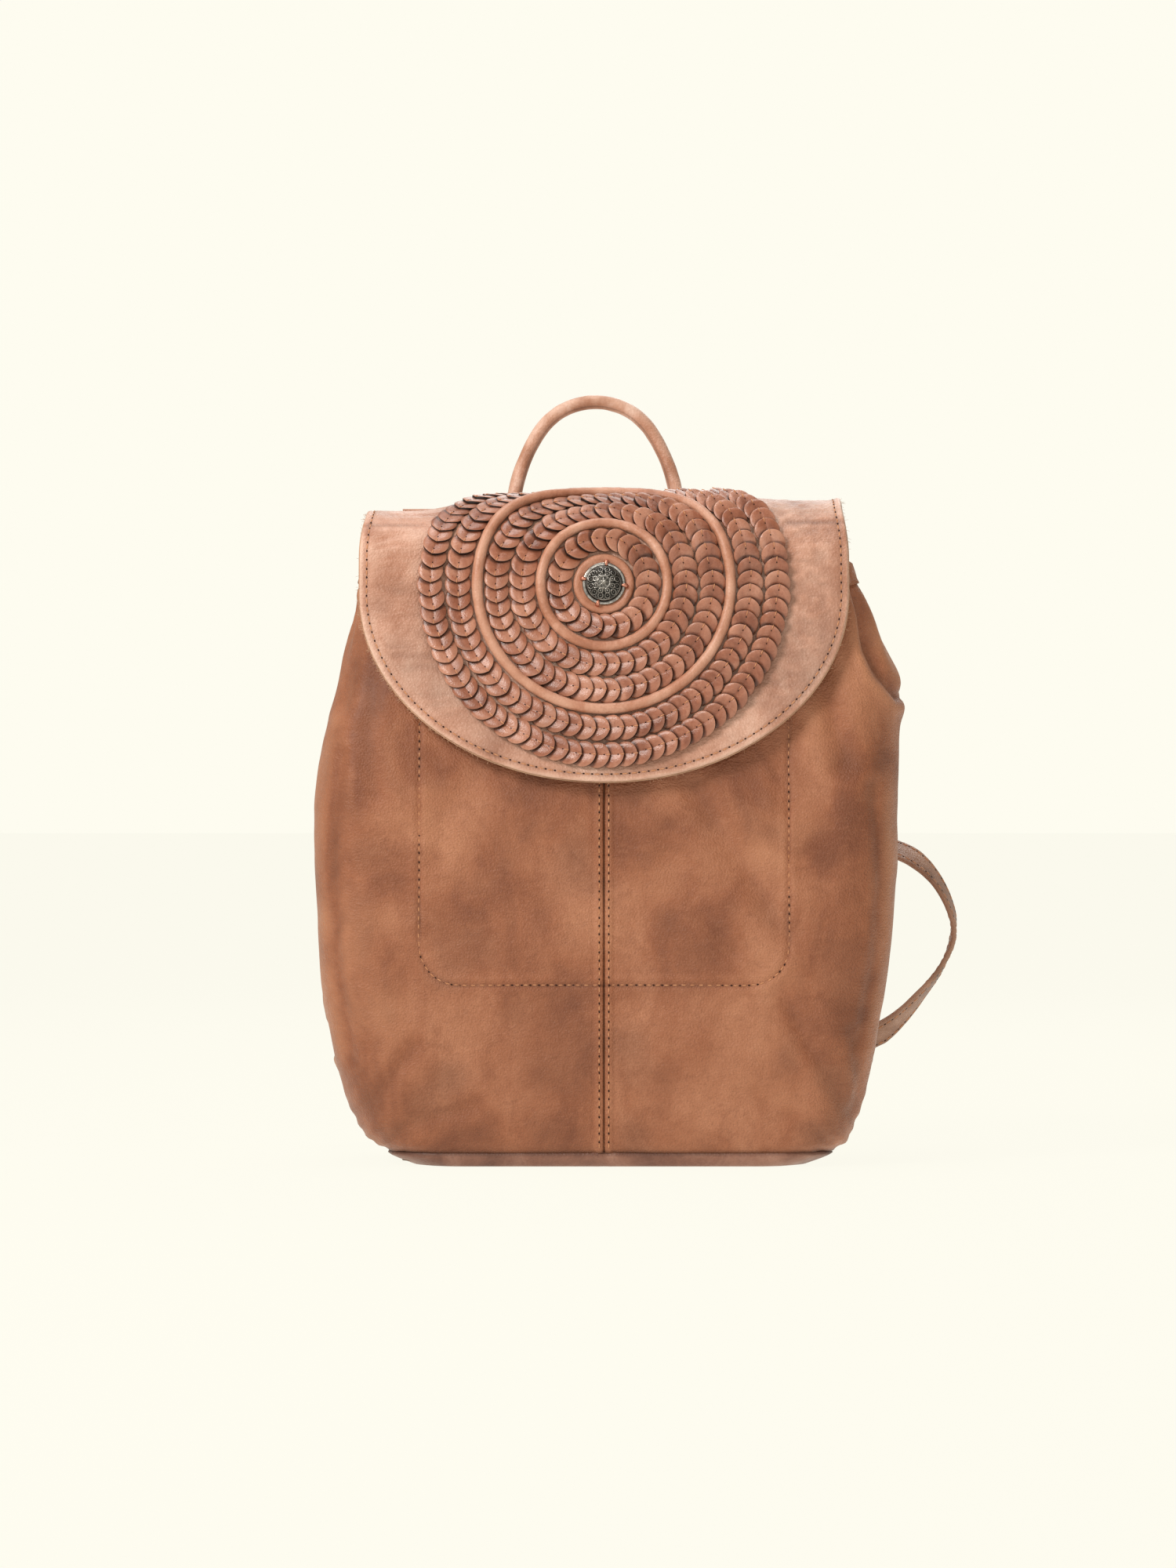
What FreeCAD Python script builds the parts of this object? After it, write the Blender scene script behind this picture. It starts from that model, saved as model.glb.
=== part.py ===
import FreeCAD, Part
import Sketcher
import math
import os

from FreeCAD import Placement, Rotation, Vector

# A small leather backpack. Millimetres, +Z up, front towards -Y, origin under the middle of the base.

document = FreeCAD.newDocument("LeatherBackpack")

# ---------------------------------------------------------------- driving dimensions

STATIONS = ("base", "heel", "low", "waist", "belly", "chest", "shoulder", "mouth", "crown")

# height of the cross-section, half its width, its front and back depths, and its corner radius
STATION_SIZES = {
    "base": (6.5, 112, 54, 54, 26),
    "heel": (19, 121, 57, 56, 30),
    "low": (46, 129, 60, 58, 30),
    "waist": (108, 137, 61, 59, 30),
    "belly": (177, 141, 59, 58, 30),
    "chest": (223, 137, 54, 55, 28),
    "shoulder": (262, 126, 47, 49, 24),
    "mouth": (292, 116, 42, 44, 18),
    "crown": (323, 114, 40, 43, 14),
}

SIZES = {
    "nothing": 0,
    "leather_thick": 1.8,
    "lining_gap": 1.2,
    "lining_thick": 0.6,
    "lining_top": 289,
    "seam_gap": 0.1,
    "mouth_height": 292,
    "hem_depth": 10,
    "hem_thick": 1.4,
    "back_half_width": 100,
    "back_top": 316,
    "foot_half_width": 106,
    "foot_depth": 51,
    "foot_corner": 22,
    "board_length": 196,
    "board_width": 90,
    "board_corner": 14,
    "board_thick": 2.4,
    "board_height": 2.2,
    "pocket_half_width": 89,
    "pocket_low": 88,
    "pocket_top": 235,
    "pocket_corner": 19,
    "pocket_depth": 12,
    "pocket_thick": 1.2,
    "flap_half_width": 118,
    "flap_top": 325,
    "flap_low": 186,
    "flap_round_height": 91,
    "flap_bend": 42,
    "flap_bend_depth": -10,
    "flap_lean": 9,
    "flap_leather_thick": 1.8,
    "flap_lining_thick": 1.2,
    "flap_hinge_relief": 0.2,
    "hinge_depth": 43,
    "strip_low": 286,
    "strip_top": 321.8,
    "medallion_height": 281,
    "scale_radius": 6.3,
    "scale_thick": 0.8,
    "scale_tilt": 12,
    "scale_tilt_inner": 18,
    "ring_count_a": 78,
    "ring_count_b": 66,
    "ring_count_c": 49,
    "ring_count_d": 37,
    "ring_count_e": 20,
    "ring_radius_a": 83.5,
    "ring_radius_b": 70.6,
    "ring_radius_c": 52.2,
    "ring_radius_d": 39.5,
    "ring_radius_e": 21.5,
    "piping_outer_radius": 61.15,
    "piping_inner_radius": 30.6,
    "piping_wire_outer": 2.5,
    "piping_wire_inner": 2.4,
    "rest_gap": 0.25,
    "centre_radius": 14.7,
    "centre_thick": 2.0,
    "rim_radius": 10.3,
    "rim_thick": 1.0,
    "dome_radius": 9.1,
    "dome_height": 4.4,
    "claw_reach": 9.5,
    "claw_width": 2.2,
    "claw_thick": 0.5,
    "claw_turn": -6,
    "claw_gap": 0.1,
    "post_radius": 1.9,
    "post_hole_radius": 2.0,
    "washer_radius": 7,
    "washer_thick": 1.0,
    "snap_height": 205,
    "snap_plate_radius": 9,
    "snap_plate_thick": 1.2,
    "snap_post_radius": 4.2,
    "snap_post_length": 2.6,
    "snap_leg_radius": 1.6,
    "snap_leg_hole": 1.7,
    "snap_washer_radius": 8,
    "snap_washer_thick": 0.5,
    "snap_washer_gap": 0.6,
    "snap_stand_off": 0.4,
    "socket_radius": 9.5,
    "socket_thick": 2.4,
    "socket_floor": 0.4,
    "socket_mouth": 6.2,
    "socket_wall": 0.5,
    "magnet_outer": 8.8,
    "magnet_inner": 6.8,
    "magnet_thick": 1.5,
    "handle_shift": -4,
    "handle_half_span": 41.5,
    "handle_rise": 62,
    "handle_top_radius": 33,
    "handle_roll": 3.5,
    "handle_core": 2.0,
    "handle_bore": 2.1,
    "handle_lean": 12,
    "handle_depth": 49.2,
    "handle_foot": 315.5,
    "handle_tab_low": 290,
    "handle_tab_top": 311.5,
    "handle_tab_width": 14,
    "handle_tab_thick": 3,
    "strap_width": 17,
    "strap_thick": 2.5,
    "swing_gap": 0.35,
    "strap_root_gap": 0.35,
    "foot_stand_off": 2.8,
    "trim_reach": 22,
    "patch_low": 260,
    "patch_top": 282,
    "patch_half_width": 46,
    "patch_thick": 4.8,
    "left_strap_turn": 65,
    "wire_radius": 1.5,
    "buckle_play": 0.3,
    "buckle_stand": 4,
    "end_turn": 3,
    "buckle_length": 22,
    "buckle_half_width": 11.5,
    "buckle_corner": 4,
    "prong_radius": 1.1,
    "prong_length": 24.5,
    "prong_eye": 1.0,
    "prong_eye_gap": 0.1,
    "prong_lift": 0.05,
    "prong_slot": 2.3,
    "strap_eye_inner": 1.65,
    "strap_eye_outer": 3.4,
    "keeper_place": 15,
    "keeper_length": 8,
    "keeper_wall": 1.3,
    "keeper_under": 0.2,
    "tail_lift": 4.85,
    "tail_length": 38,
}


def make_sheet():
    sheet = document.addObject("Spreadsheet::Sheet", "Sizes")
    named = dict(SIZES)
    for station in STATIONS:
        for part, number in zip(("height", "half", "front", "back", "corner"), STATION_SIZES[station]):
            named[f"{station}_{part}"] = number
    for row, (alias, number) in enumerate(named.items(), start=1):
        sheet.set(f"A{row}", alias)
        sheet.set(f"B{row}", str(number))
        sheet.setAlias(f"B{row}", alias)
    document.recompute()
    return sheet


sheet = make_sheet()
sub_parts = []


def cell(alias):
    return float(sheet.get(alias))


# ---------------------------------------------------------------- ways of making a sub-part

def formula(terms):
    """The sheet formula that adds the cells named in terms; a leading minus takes a cell away."""
    return " + ".join(f"-1 * Sizes.{t[1:]}" if t[0] == "-" else f"Sizes.{t}" for t in terms)


def total(terms):
    return sum(-cell(t[1:]) if t[0] == "-" else cell(t) for t in terms)


def place_feature(label, shape, placement=Placement()):
    """A sub-part whose shape is worked out here from the sheet's sizes."""
    feature = document.addObject("Part::Feature", label)
    feature.Label = label
    feature.Shape = shape
    feature.Placement = placement.multiply(shape.Placement)
    sub_parts.append(feature)
    return feature


def origin_plane(body, role):
    return next(feature for feature in body.Origin.OriginFeatures if feature.Role == role)


def start_body(label, plane_role, placement):
    body = document.addObject("PartDesign::Body", label)
    body.Label = label
    sketch = body.newObject("Sketcher::SketchObject", f"{label}_sketch")
    sketch.AttachmentSupport = [(origin_plane(body, plane_role), "")]
    sketch.MapMode = "FlatFace"
    body.Placement = placement
    sub_parts.append(body)
    return body, sketch


def pin_corner(sketch, line, across, up):
    """Ties the first point of a sketch line to two sheet formulas measured from the sketch's origin."""
    for kind, terms in (("DistanceX", across), ("DistanceY", up)):
        number = sketch.addConstraint(Sketcher.Constraint(kind, -1, 1, line, 1, total(terms)))
        sketch.setExpression(f"Constraints[{number}]", formula(terms))


def closed_profile(sketch, corners):
    """A closed polygon; each corner is a pair of lists of sheet cells to add up."""
    points = [Vector(total(across), total(up), 0) for across, up in corners]
    count = len(points)
    for index in range(count):
        sketch.addGeometry(Part.LineSegment(points[index], points[(index + 1) % count]), False)
    for index in range(count):
        sketch.addConstraint(Sketcher.Constraint("Coincident", index, 2, (index + 1) % count, 1))
    for index, (across, up) in enumerate(corners):
        pin_corner(sketch, index, across, up)


def turned_piece(label, corners, placement):
    """A piece turned about its own Z axis from a profile of radii and heights."""
    body, sketch = start_body(label, "XZ_Plane", placement)
    closed_profile(sketch, corners)
    document.recompute()
    turning = body.newObject("PartDesign::Revolution", f"{label}_turning")
    turning.Profile = sketch
    turning.ReferenceAxis = (sketch, ["V_Axis"])
    turning.Angle = 360
    return body


def ring_profile(inner, outer, low, high):
    return [(inner, low), (outer, low), (outer, high), (inner, high)]


# ---------------------------------------------------------------- the bag's skin

def rounded_wire(half, front, back, radius, level):
    """A level rounded rectangle between two depths, centred across the bag."""
    bow = radius * (1 - math.sqrt(0.5))

    def at(across, depth):
        return Vector(across, depth, level)

    edges = [
        Part.LineSegment(at(radius - half, front), at(half - radius, front)),
        Part.Arc(at(half - radius, front), at(half - bow, front + bow), at(half, front + radius)),
        Part.LineSegment(at(half, front + radius), at(half, back - radius)),
        Part.Arc(at(half, back - radius), at(half - bow, back - bow), at(half - radius, back)),
        Part.LineSegment(at(half - radius, back), at(radius - half, back)),
        Part.Arc(at(radius - half, back), at(bow - half, back - bow), at(-half, back - radius)),
        Part.LineSegment(at(-half, back - radius), at(-half, front + radius)),
        Part.Arc(at(-half, front + radius), at(bow - half, front + bow), at(radius - half, front)),
    ]
    return Part.Wire([edge.toShape() for edge in edges])


def cross_section(station, inset):
    """The bag's cross-section at a station, the given distance inside its outer face."""
    half = cell(f"{station}_half") - inset
    front = inset - cell(f"{station}_front")
    back = cell(f"{station}_back") - inset
    return rounded_wire(half, front, back, cell(f"{station}_corner") - inset, cell(f"{station}_height"))


def bag_solid(inset):
    return Part.makeLoft([cross_section(station, inset) for station in STATIONS], True, False)


def slab(half_width, depth_low, depth_high, low, high, middle=0):
    """A box between two depths and two heights, centred on middle across the bag."""
    corner = Vector(middle - half_width, depth_low, low)
    return Part.makeBox(2 * half_width, depth_high - depth_low, high - low, corner)


REACH = 200  # further than the bag's skin goes from its middle, so a slab this big cuts all of it
SPARE = 10   # how far a cutting block or an untrimmed sheet goes past what it cuts or is cut to

bag_outside = bag_solid(0)


def skin(outer_inset, inner_inset):
    outer = bag_outside if outer_inset == 0 else bag_solid(outer_inset)
    return outer.cut(bag_solid(inner_inset))


def wall_depth(level, front=True):
    """Where the bag's outer face stands on its middle line at a height."""
    side = -REACH if front else REACH
    line = Part.makeLine(Vector(0, side, level), Vector(0, 0, level))
    box = line.common(bag_outside).BoundBox
    return box.YMin if front else box.YMax


def snap_place_on_wall(off_wall):
    """A frame on the front wall at the snap, its Z axis pointing out of the bag."""
    level = cell("snap_height")
    step = cell("snap_leg_radius")
    rise = wall_depth(level + step) - wall_depth(level - step)
    lean = math.degrees(math.atan2(rise, 2 * step))
    turn = Rotation(Vector(1, 0, 0), 90 - lean)
    out = turn.multVec(Vector(0, 0, 1))
    return Placement(Vector(0, wall_depth(level), level) + out * off_wall, turn)


def make_walls():
    wall = skin(0, cell("leather_thick"))
    back_zone = slab(cell("back_half_width"), 0, REACH, 0, cell("crown_height"))
    leg_hole = Part.makeCylinder(cell("snap_leg_hole"), 2 * SPARE, Vector(0, 0, -SPARE))
    leg_hole.Placement = snap_place_on_wall(0)
    front = wall.cut(back_zone).cut(leg_hole)
    for label, side in (("front_panel_left", -1), ("front_panel_right", 1)):
        half = slab(REACH / 2, -REACH, REACH, 0, cell("mouth_height"), side * REACH / 2)
        place_feature(label, front.common(half))
    back = wall.common(slab(cell("back_half_width"), 0, REACH, 0, cell("back_top")))
    place_feature("back_panel", back)
    hem = skin(-cell("hem_thick"), 0).cut(back_zone)
    top = cell("mouth_height")
    place_feature("mouth_hem", hem.common(slab(REACH, -REACH, REACH, top - cell("hem_depth"), top)))


def foot_section(level, inset):
    """A rounded rectangle of the base's footprint, grown outwards as the base meets the walls."""
    grown = level / cell("base_height")
    half = cell("foot_half_width") + grown * (cell("base_half") - cell("foot_half_width")) - inset
    depth = cell("foot_depth") + grown * (cell("base_front") - cell("foot_depth")) - inset
    return rounded_wire(half, -depth, depth, cell("foot_corner") - inset, level)


def make_base():
    rim = cell("base_height")
    outer = Part.makeLoft([foot_section(0, 0), foot_section(rim, 0)], True, True)
    thick = cell("leather_thick")
    hollow = [foot_section(thick, thick), foot_section(rim, thick)]
    place_feature("base_panel", outer.cut(Part.makeLoft(hollow, True, True)))


def make_board():
    body, sketch = start_body(
        "base_stiffener", "XY_Plane", Placement(Vector(0, 0, cell("board_height")), Rotation())
    )
    length, width = cell("board_length"), cell("board_width")
    add_rectangle(sketch, length, width)
    document.recompute()
    pad = body.newObject("PartDesign::Pad", "board_pad")
    pad.Profile = sketch
    pad.setExpression("Length", "Sizes.board_thick")
    document.recompute()
    rounding = body.newObject("PartDesign::Fillet", "board_corners")
    upright = [
        f"Edge{number}"
        for number, edge in enumerate(pad.Shape.Edges, start=1)
        if edge.BoundBox.ZLength > cell("board_thick") / 2
    ]
    rounding.Base = (pad, upright)
    rounding.setExpression("Radius", "Sizes.board_corner")


def add_rectangle(sketch, length, width):
    """A rectangle centred on the sketch's origin, its two sizes bound to the board's cells."""
    corners = [(-length / 2, -width / 2), (length / 2, -width / 2), (length / 2, width / 2)]
    corners.append((-length / 2, width / 2))
    points = [Vector(across, up, 0) for across, up in corners]
    for index in range(4):
        sketch.addGeometry(Part.LineSegment(points[index], points[(index + 1) % 4]), False)
    for index in range(4):
        sketch.addConstraint(Sketcher.Constraint("Coincident", index, 2, (index + 1) % 4, 1))
    for index, kind in ((0, "Horizontal"), (2, "Horizontal"), (1, "Vertical"), (3, "Vertical")):
        sketch.addConstraint(Sketcher.Constraint(kind, index))
    sketch.addConstraint(Sketcher.Constraint("Symmetric", 0, 1, 1, 2, -1, 1))
    for kind, line, alias in (("DistanceX", 0, "board_length"), ("DistanceY", 1, "board_width")):
        number = sketch.addConstraint(Sketcher.Constraint(kind, line, 1, line, 2, cell(alias)))
        sketch.setExpression(f"Constraints[{number}]", f"Sizes.{alias}")


def make_lining():
    outer_inset = cell("leather_thick") + cell("lining_gap")
    inner_inset = outer_inset + cell("lining_thick")
    bag = skin(outer_inset, inner_inset).common(slab(REACH, -REACH, REACH, 0, cell("lining_top")))
    floor_high = cell("base_height") + cell("lining_thick")
    floor = bag_solid(outer_inset).common(slab(REACH, -REACH, REACH, 0, floor_high))
    place_feature("lining_bag", bag.fuse(floor).removeSplitter())


def pocket_outline(half_width, low, corner):
    """A block through the front wall with the pocket's U shape, rounded at its two lower corners."""
    block = slab(half_width, -REACH, 0, low, cell("pocket_top"))
    lower = [
        edge
        for edge in block.Edges
        if edge.BoundBox.YLength > REACH / 2 and edge.BoundBox.ZMax < low + 1
    ]
    return block.makeFillet(corner, lower)


def make_pocket():
    lined = cell("leather_thick") + cell("lining_gap") + cell("lining_thick")
    thick = cell("pocket_thick")
    half, low, corner = cell("pocket_half_width"), cell("pocket_low"), cell("pocket_corner")
    patch = skin(lined, cell("pocket_depth") + thick).common(pocket_outline(half, low, corner))
    room = skin(lined, cell("pocket_depth"))
    room = room.common(pocket_outline(half - thick, low + thick, corner - thick))
    place_feature("front_pocket", patch.cut(room))


# ---------------------------------------------------------------- the flap

def flap_path(depth_in):
    """The flap's side view at a depth below its outer face: level top, round bend, leaning front."""
    centre = Vector(0, cell("flap_bend_depth"), cell("flap_top") - cell("flap_bend"))
    radius = cell("flap_bend") - depth_in
    lean = math.radians(cell("flap_lean"))
    rear = Vector(0, cell("hinge_depth") - cell("flap_hinge_relief"), centre.z + radius)

    def on_bend(angle):
        return centre + Vector(0, -math.cos(angle), math.sin(angle)) * radius

    middle = (math.pi / 2 + lean) / 2
    start, end = on_bend(math.pi / 2), on_bend(lean)
    run = (end.z - cell("flap_low") + SPARE) / math.cos(lean)
    tip = end + Vector(0, -math.sin(lean), -math.cos(lean)) * run
    return rear, start, on_bend(middle), end, tip


def flap_layer(outer_depth, inner_depth):
    """One bent layer of the flap, cut to the flap's outline."""
    rear, start, middle, end, tip = flap_path(outer_depth)
    rear_in, start_in, middle_in, end_in, tip_in = flap_path(inner_depth)
    edges = [
        Part.LineSegment(rear, start),
        Part.Arc(start, middle, end),
        Part.LineSegment(end, tip),
        Part.LineSegment(tip, tip_in),
        Part.LineSegment(tip_in, end_in),
        Part.Arc(end_in, middle_in, start_in),
        Part.LineSegment(start_in, rear_in),
        Part.LineSegment(rear_in, rear),
    ]
    face = Part.Face(Part.Wire([edge.toShape() for edge in edges]))
    face.translate(Vector(-cell("flap_half_width") - SPARE, 0, 0))
    sheet_of_leather = face.extrude(Vector(2 * (cell("flap_half_width") + SPARE), 0, 0))
    return sheet_of_leather.common(flap_outline())


def flap_outline():
    """A block through the flap whose lower half is a half ellipse."""
    half, rise = cell("flap_half_width"), cell("flap_round_height")
    level = cell("flap_low") + rise
    ellipse = Part.Ellipse(Vector(half, 0, level), Vector(0, 0, level - rise), Vector(0, 0, level))
    disc = Part.Face(Part.Wire([ellipse.toShape()]))
    disc.translate(Vector(0, -REACH, 0))
    lower = disc.extrude(Vector(0, 2 * REACH, 0))
    return lower.fuse(slab(half, -REACH, REACH, level, cell("flap_top") + SPARE)).removeSplitter()


def flap_frame(across, along, height):
    """Point, downward-to-upward tangent and outward normal on the flap's outer face.

    along is the distance up the leather from the medallion's centre."""
    lean = math.radians(cell("flap_lean"))
    radius = cell("flap_bend")
    _, start, _, end, _ = flap_path(0)
    straight = (end.z - cell("medallion_height")) / math.cos(lean)
    bend = radius * (math.pi / 2 - lean)
    if along <= straight:
        angle = lean
        point = end - Vector(0, math.sin(lean), math.cos(lean)) * (straight - along)
    elif along <= straight + bend:
        angle = lean + (along - straight) / radius
        centre = Vector(0, cell("flap_bend_depth"), cell("flap_top") - radius)
        point = centre + Vector(0, -math.cos(angle), math.sin(angle)) * radius
    else:
        angle = math.pi / 2
        point = start + Vector(0, along - straight - bend, 0)
    normal = Vector(0, -math.cos(angle), math.sin(angle))
    upward = Vector(0, math.sin(angle), math.cos(angle))
    return point + Vector(across, 0, 0) + normal * height, upward, normal


def ring_frame(radius, angle, height):
    """Point, travel direction, outward direction and normal on a ring that lies on the flap."""
    point, upward, normal = flap_frame(radius * math.cos(angle), radius * math.sin(angle), height)
    sideways = Vector(1, 0, 0)
    travel = upward * math.cos(angle) - sideways * math.sin(angle)
    outward = sideways * math.cos(angle) + upward * math.sin(angle)
    return point, travel, outward, normal


def flap_place(along, height):
    """A frame on the flap whose Z axis is the flap's outward normal."""
    point, upward, normal = flap_frame(0, along, height)
    return Placement(point, Rotation(Vector(1, 0, 0), upward, normal, "ZXY"))


def flap_snap_along():
    return (cell("snap_height") - cell("medallion_height")) / math.cos(math.radians(cell("flap_lean")))


def flap_hole(radius, along):
    hole = Part.makeCylinder(radius, 2 * SPARE, Vector(0, 0, -SPARE))
    hole.Placement = flap_place(along, 0)
    return hole


def make_flap():
    outer_thick = cell("flap_leather_thick")
    full_thick = outer_thick + cell("flap_lining_thick")
    post_hole = flap_hole(cell("post_hole_radius"), 0)
    place_feature("flap_leather", flap_layer(0, outer_thick).cut(post_hole))
    leg_hole = flap_hole(cell("snap_leg_hole"), flap_snap_along())
    seat_depth = cell("snap_washer_thick") + cell("seam_gap")
    seat = Part.makeCylinder(cell("snap_washer_radius") + cell("seam_gap"), seat_depth)
    seat.Placement = flap_place(flap_snap_along(), -outer_thick - seat_depth)
    lining = flap_layer(outer_thick, full_thick).cut(post_hole).cut(leg_hole).cut(seat)
    place_feature("flap_lining", lining)


def make_anchor_strip():
    strip = skin(-cell("leather_thick") - cell("seam_gap"), -cell("seam_gap"))
    zone = slab(cell("back_half_width"), 0, REACH, cell("strip_low"), cell("strip_top"))
    place_feature("flap_anchor_strip", strip.common(zone))


def scale_disc(radius, angle, tilt):
    """One leather disc whose leading edge is tilted up so that it lies over the next."""
    lift = cell("scale_radius") * math.sin(tilt) + cell("scale_thick") / 2 + cell("rest_gap")
    point, travel, outward, normal = ring_frame(radius, angle, lift)
    up = normal * math.cos(tilt) - travel * math.sin(tilt)
    return Part.makeCylinder(
        cell("scale_radius"), cell("scale_thick"), point - up * (cell("scale_thick") / 2), up
    )


def make_scale_rings():
    for letter in "abcde":
        count = int(cell(f"ring_count_{letter}"))
        radius = cell(f"ring_radius_{letter}")
        tilt = math.radians(cell("scale_tilt_inner" if letter == "e" else "scale_tilt"))
        discs = [scale_disc(radius, 2 * math.pi * k / count, tilt) for k in range(count)]
        place_feature(f"scale_ring_{letter}", Part.makeCompound(discs))


def make_piping(label, ring_radius, wire_radius):
    """A round leather cord in a closed ring that follows the flap over its bend."""
    sections = []
    count = 60
    for number in range(count):
        angle = 2 * math.pi * number / count
        point, travel, _, _ = ring_frame(ring_radius, angle, wire_radius + cell("rest_gap"))
        sections.append(Part.Wire([Part.Circle(point, travel, wire_radius).toShape()]))
    place_feature(label, Part.makeLoft(sections, True, True, True))


def make_medallion():
    disc = ring_profile(["post_hole_radius"], ["centre_radius"], ["nothing"], ["centre_thick"])
    turned_piece("medallion_centre", disc, flap_place(0, cell("seam_gap")))
    top = cell("seam_gap") + cell("centre_thick")
    rim = ring_profile(["post_hole_radius"], ["rim_radius"], ["nothing"], ["rim_thick"])
    turned_piece("stud_rim", rim, flap_place(0, top))
    make_dome(top + cell("rim_thick"))
    make_claws(top)
    back = cell("flap_leather_thick") + cell("flap_lining_thick")
    washer = ring_profile(["post_hole_radius"], ["washer_radius"], ["nothing"], ["washer_thick"])
    turned_piece("stud_washer", washer, flap_place(0, -back - cell("washer_thick")))
    post = document.addObject("Part::Cylinder", "stud_post")
    post.Label = "stud_post"
    post.setExpression("Radius", "Sizes.post_radius")
    post.setExpression(
        "Height",
        "Sizes.flap_leather_thick + Sizes.flap_lining_thick + Sizes.washer_thick"
        " + Sizes.seam_gap + Sizes.centre_thick + Sizes.rim_thick",
    )
    post.Placement = flap_place(0, -back - cell("washer_thick"))
    sub_parts.append(post)


def make_dome(height):
    """A cap cut from a ball by a cylinder standing on the stud's rim."""
    ball = document.addObject("Part::Sphere", "dome_ball")
    ball.setExpression(
        "Radius", "(Sizes.dome_radius ^ 2 + Sizes.dome_height ^ 2) / (2 * Sizes.dome_height)"
    )
    radius = (cell("dome_radius") ** 2 + cell("dome_height") ** 2) / (2 * cell("dome_height"))
    ball.Placement = Placement(Vector(0, 0, cell("dome_height") - radius), Rotation())
    column = document.addObject("Part::Cylinder", "dome_column")
    column.setExpression("Radius", "Sizes.dome_radius + 1")
    column.setExpression("Height", "Sizes.dome_height + 1")
    dome = document.addObject("Part::Common", "stud_dome")
    dome.Label = "stud_dome"
    dome.Base = ball
    dome.Tool = column
    dome.Placement = flap_place(0, height)
    sub_parts.append(dome)


def make_claws(height):
    """Four claws that stand in the leather beside the rim and bend in over it."""
    claws = []
    width, thick = cell("claw_width"), cell("claw_thick")
    outside = cell("rim_radius") + cell("claw_gap")
    rise = cell("rim_thick") + cell("claw_gap")
    for quarter in range(4):
        leg = Part.makeBox(thick, width, rise, Vector(outside, -width / 2, 0))
        reach = outside + thick - cell("claw_reach")
        bent = Part.makeBox(reach, width, thick, Vector(cell("claw_reach"), -width / 2, rise))
        claw = leg.fuse(bent).removeSplitter()
        claw.rotate(Vector(), Vector(0, 0, 1), cell("claw_turn") + 90 * quarter)
        claws.append(claw)
    place_feature("stud_claws", Part.makeCompound(claws), flap_place(0, height))


def make_snap():
    """The magnetic snap: a stud through the flap's lining and a socket through the front seam."""
    back = cell("flap_leather_thick") + cell("flap_lining_thick")
    inward = flap_place(flap_snap_along(), -back)
    inward = inward.multiply(Placement(Vector(), Rotation(Vector(1, 0, 0), 180)))
    stud = [
        (["nothing"], ["-flap_lining_thick", "snap_washer_thick"]),
        (["snap_leg_radius"], ["-flap_lining_thick", "snap_washer_thick"]),
        (["snap_leg_radius"], ["nothing"]),
        (["snap_plate_radius"], ["nothing"]),
        (["snap_plate_radius"], ["snap_plate_thick"]),
        (["snap_post_radius"], ["snap_plate_thick"]),
        (["snap_post_radius"], ["snap_plate_thick", "snap_post_length"]),
        (["nothing"], ["snap_plate_thick", "snap_post_length"]),
    ]
    turned_piece("snap_stud", stud, inward)
    washer = ring_profile(
        ["nothing"], ["snap_washer_radius"], ["nothing"], ["snap_washer_thick"]
    )
    seat_depth = cell("flap_leather_thick") + cell("snap_washer_thick")
    turned_piece("snap_stud_washer", washer, flap_place(flap_snap_along(), -seat_depth))
    on_wall = snap_place_on_wall(cell("snap_stand_off"))
    socket = [
        (["nothing"], ["-leather_thick", "-snap_washer_thick"]),
        (["snap_leg_radius"], ["-leather_thick", "-snap_washer_thick"]),
        (["snap_leg_radius"], ["nothing"]),
        (["socket_radius"], ["nothing"]),
        (["socket_radius"], ["socket_thick"]),
        (["socket_mouth"], ["socket_thick"]),
        (["socket_mouth"], ["socket_thick", "-socket_wall"]),
        (["magnet_outer", "seam_gap"], ["socket_thick", "-socket_wall"]),
        (["magnet_outer", "seam_gap"], ["socket_floor"]),
        (["nothing"], ["socket_floor"]),
    ]
    turned_piece("snap_socket", socket, on_wall)
    magnet_low = Placement(Vector(0, 0, cell("socket_floor")), Rotation())
    magnet = ring_profile(["magnet_inner"], ["magnet_outer"], ["nothing"], ["magnet_thick", "-seam_gap"])
    turned_piece("snap_magnet", magnet, on_wall.multiply(magnet_low))
    depth = cell("leather_thick") + cell("snap_washer_gap") + cell("snap_washer_thick")
    behind = Placement(Vector(0, 0, -depth), Rotation())
    inner_washer = ring_profile(
        ["snap_leg_hole"], ["snap_washer_radius"], ["nothing"], ["snap_washer_thick"]
    )
    turned_piece("snap_socket_washer", inner_washer, on_wall.multiply(behind))


# ---------------------------------------------------------------- the handle

def handle_arch():
    """The handle's middle line, upright in XZ from its left foot: side arc, top arc, side arc."""
    half, rise, top = cell("handle_half_span"), cell("handle_rise"), cell("handle_top_radius")
    side = ((rise - top) ** 2 + half ** 2 - top ** 2) / (2 * (half - top))
    shift = side - half
    meet = math.atan2(rise - top, shift)
    join = Vector(side * math.cos(meet) - shift, 0, side * math.sin(meet))
    side_middle = Vector(side * math.cos(meet / 2) - shift, 0, side * math.sin(meet / 2))

    def mirrored(point):
        return Vector(-point.x, 0, point.z)

    edges = [
        Part.Arc(Vector(-half, 0, 0), mirrored(side_middle), mirrored(join)),
        Part.Arc(mirrored(join), Vector(0, 0, rise), join),
        Part.Arc(join, side_middle, Vector(half, 0, 0)),
    ]
    return Part.Wire([edge.toShape() for edge in edges])


def handle_tube(radius):
    foot = Vector(-cell("handle_half_span"), 0, 0)
    ring = Part.Wire([Part.Circle(foot, Vector(0, 0, 1), radius).toShape()])
    return handle_arch().makePipeShell([ring], True, True)


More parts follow.
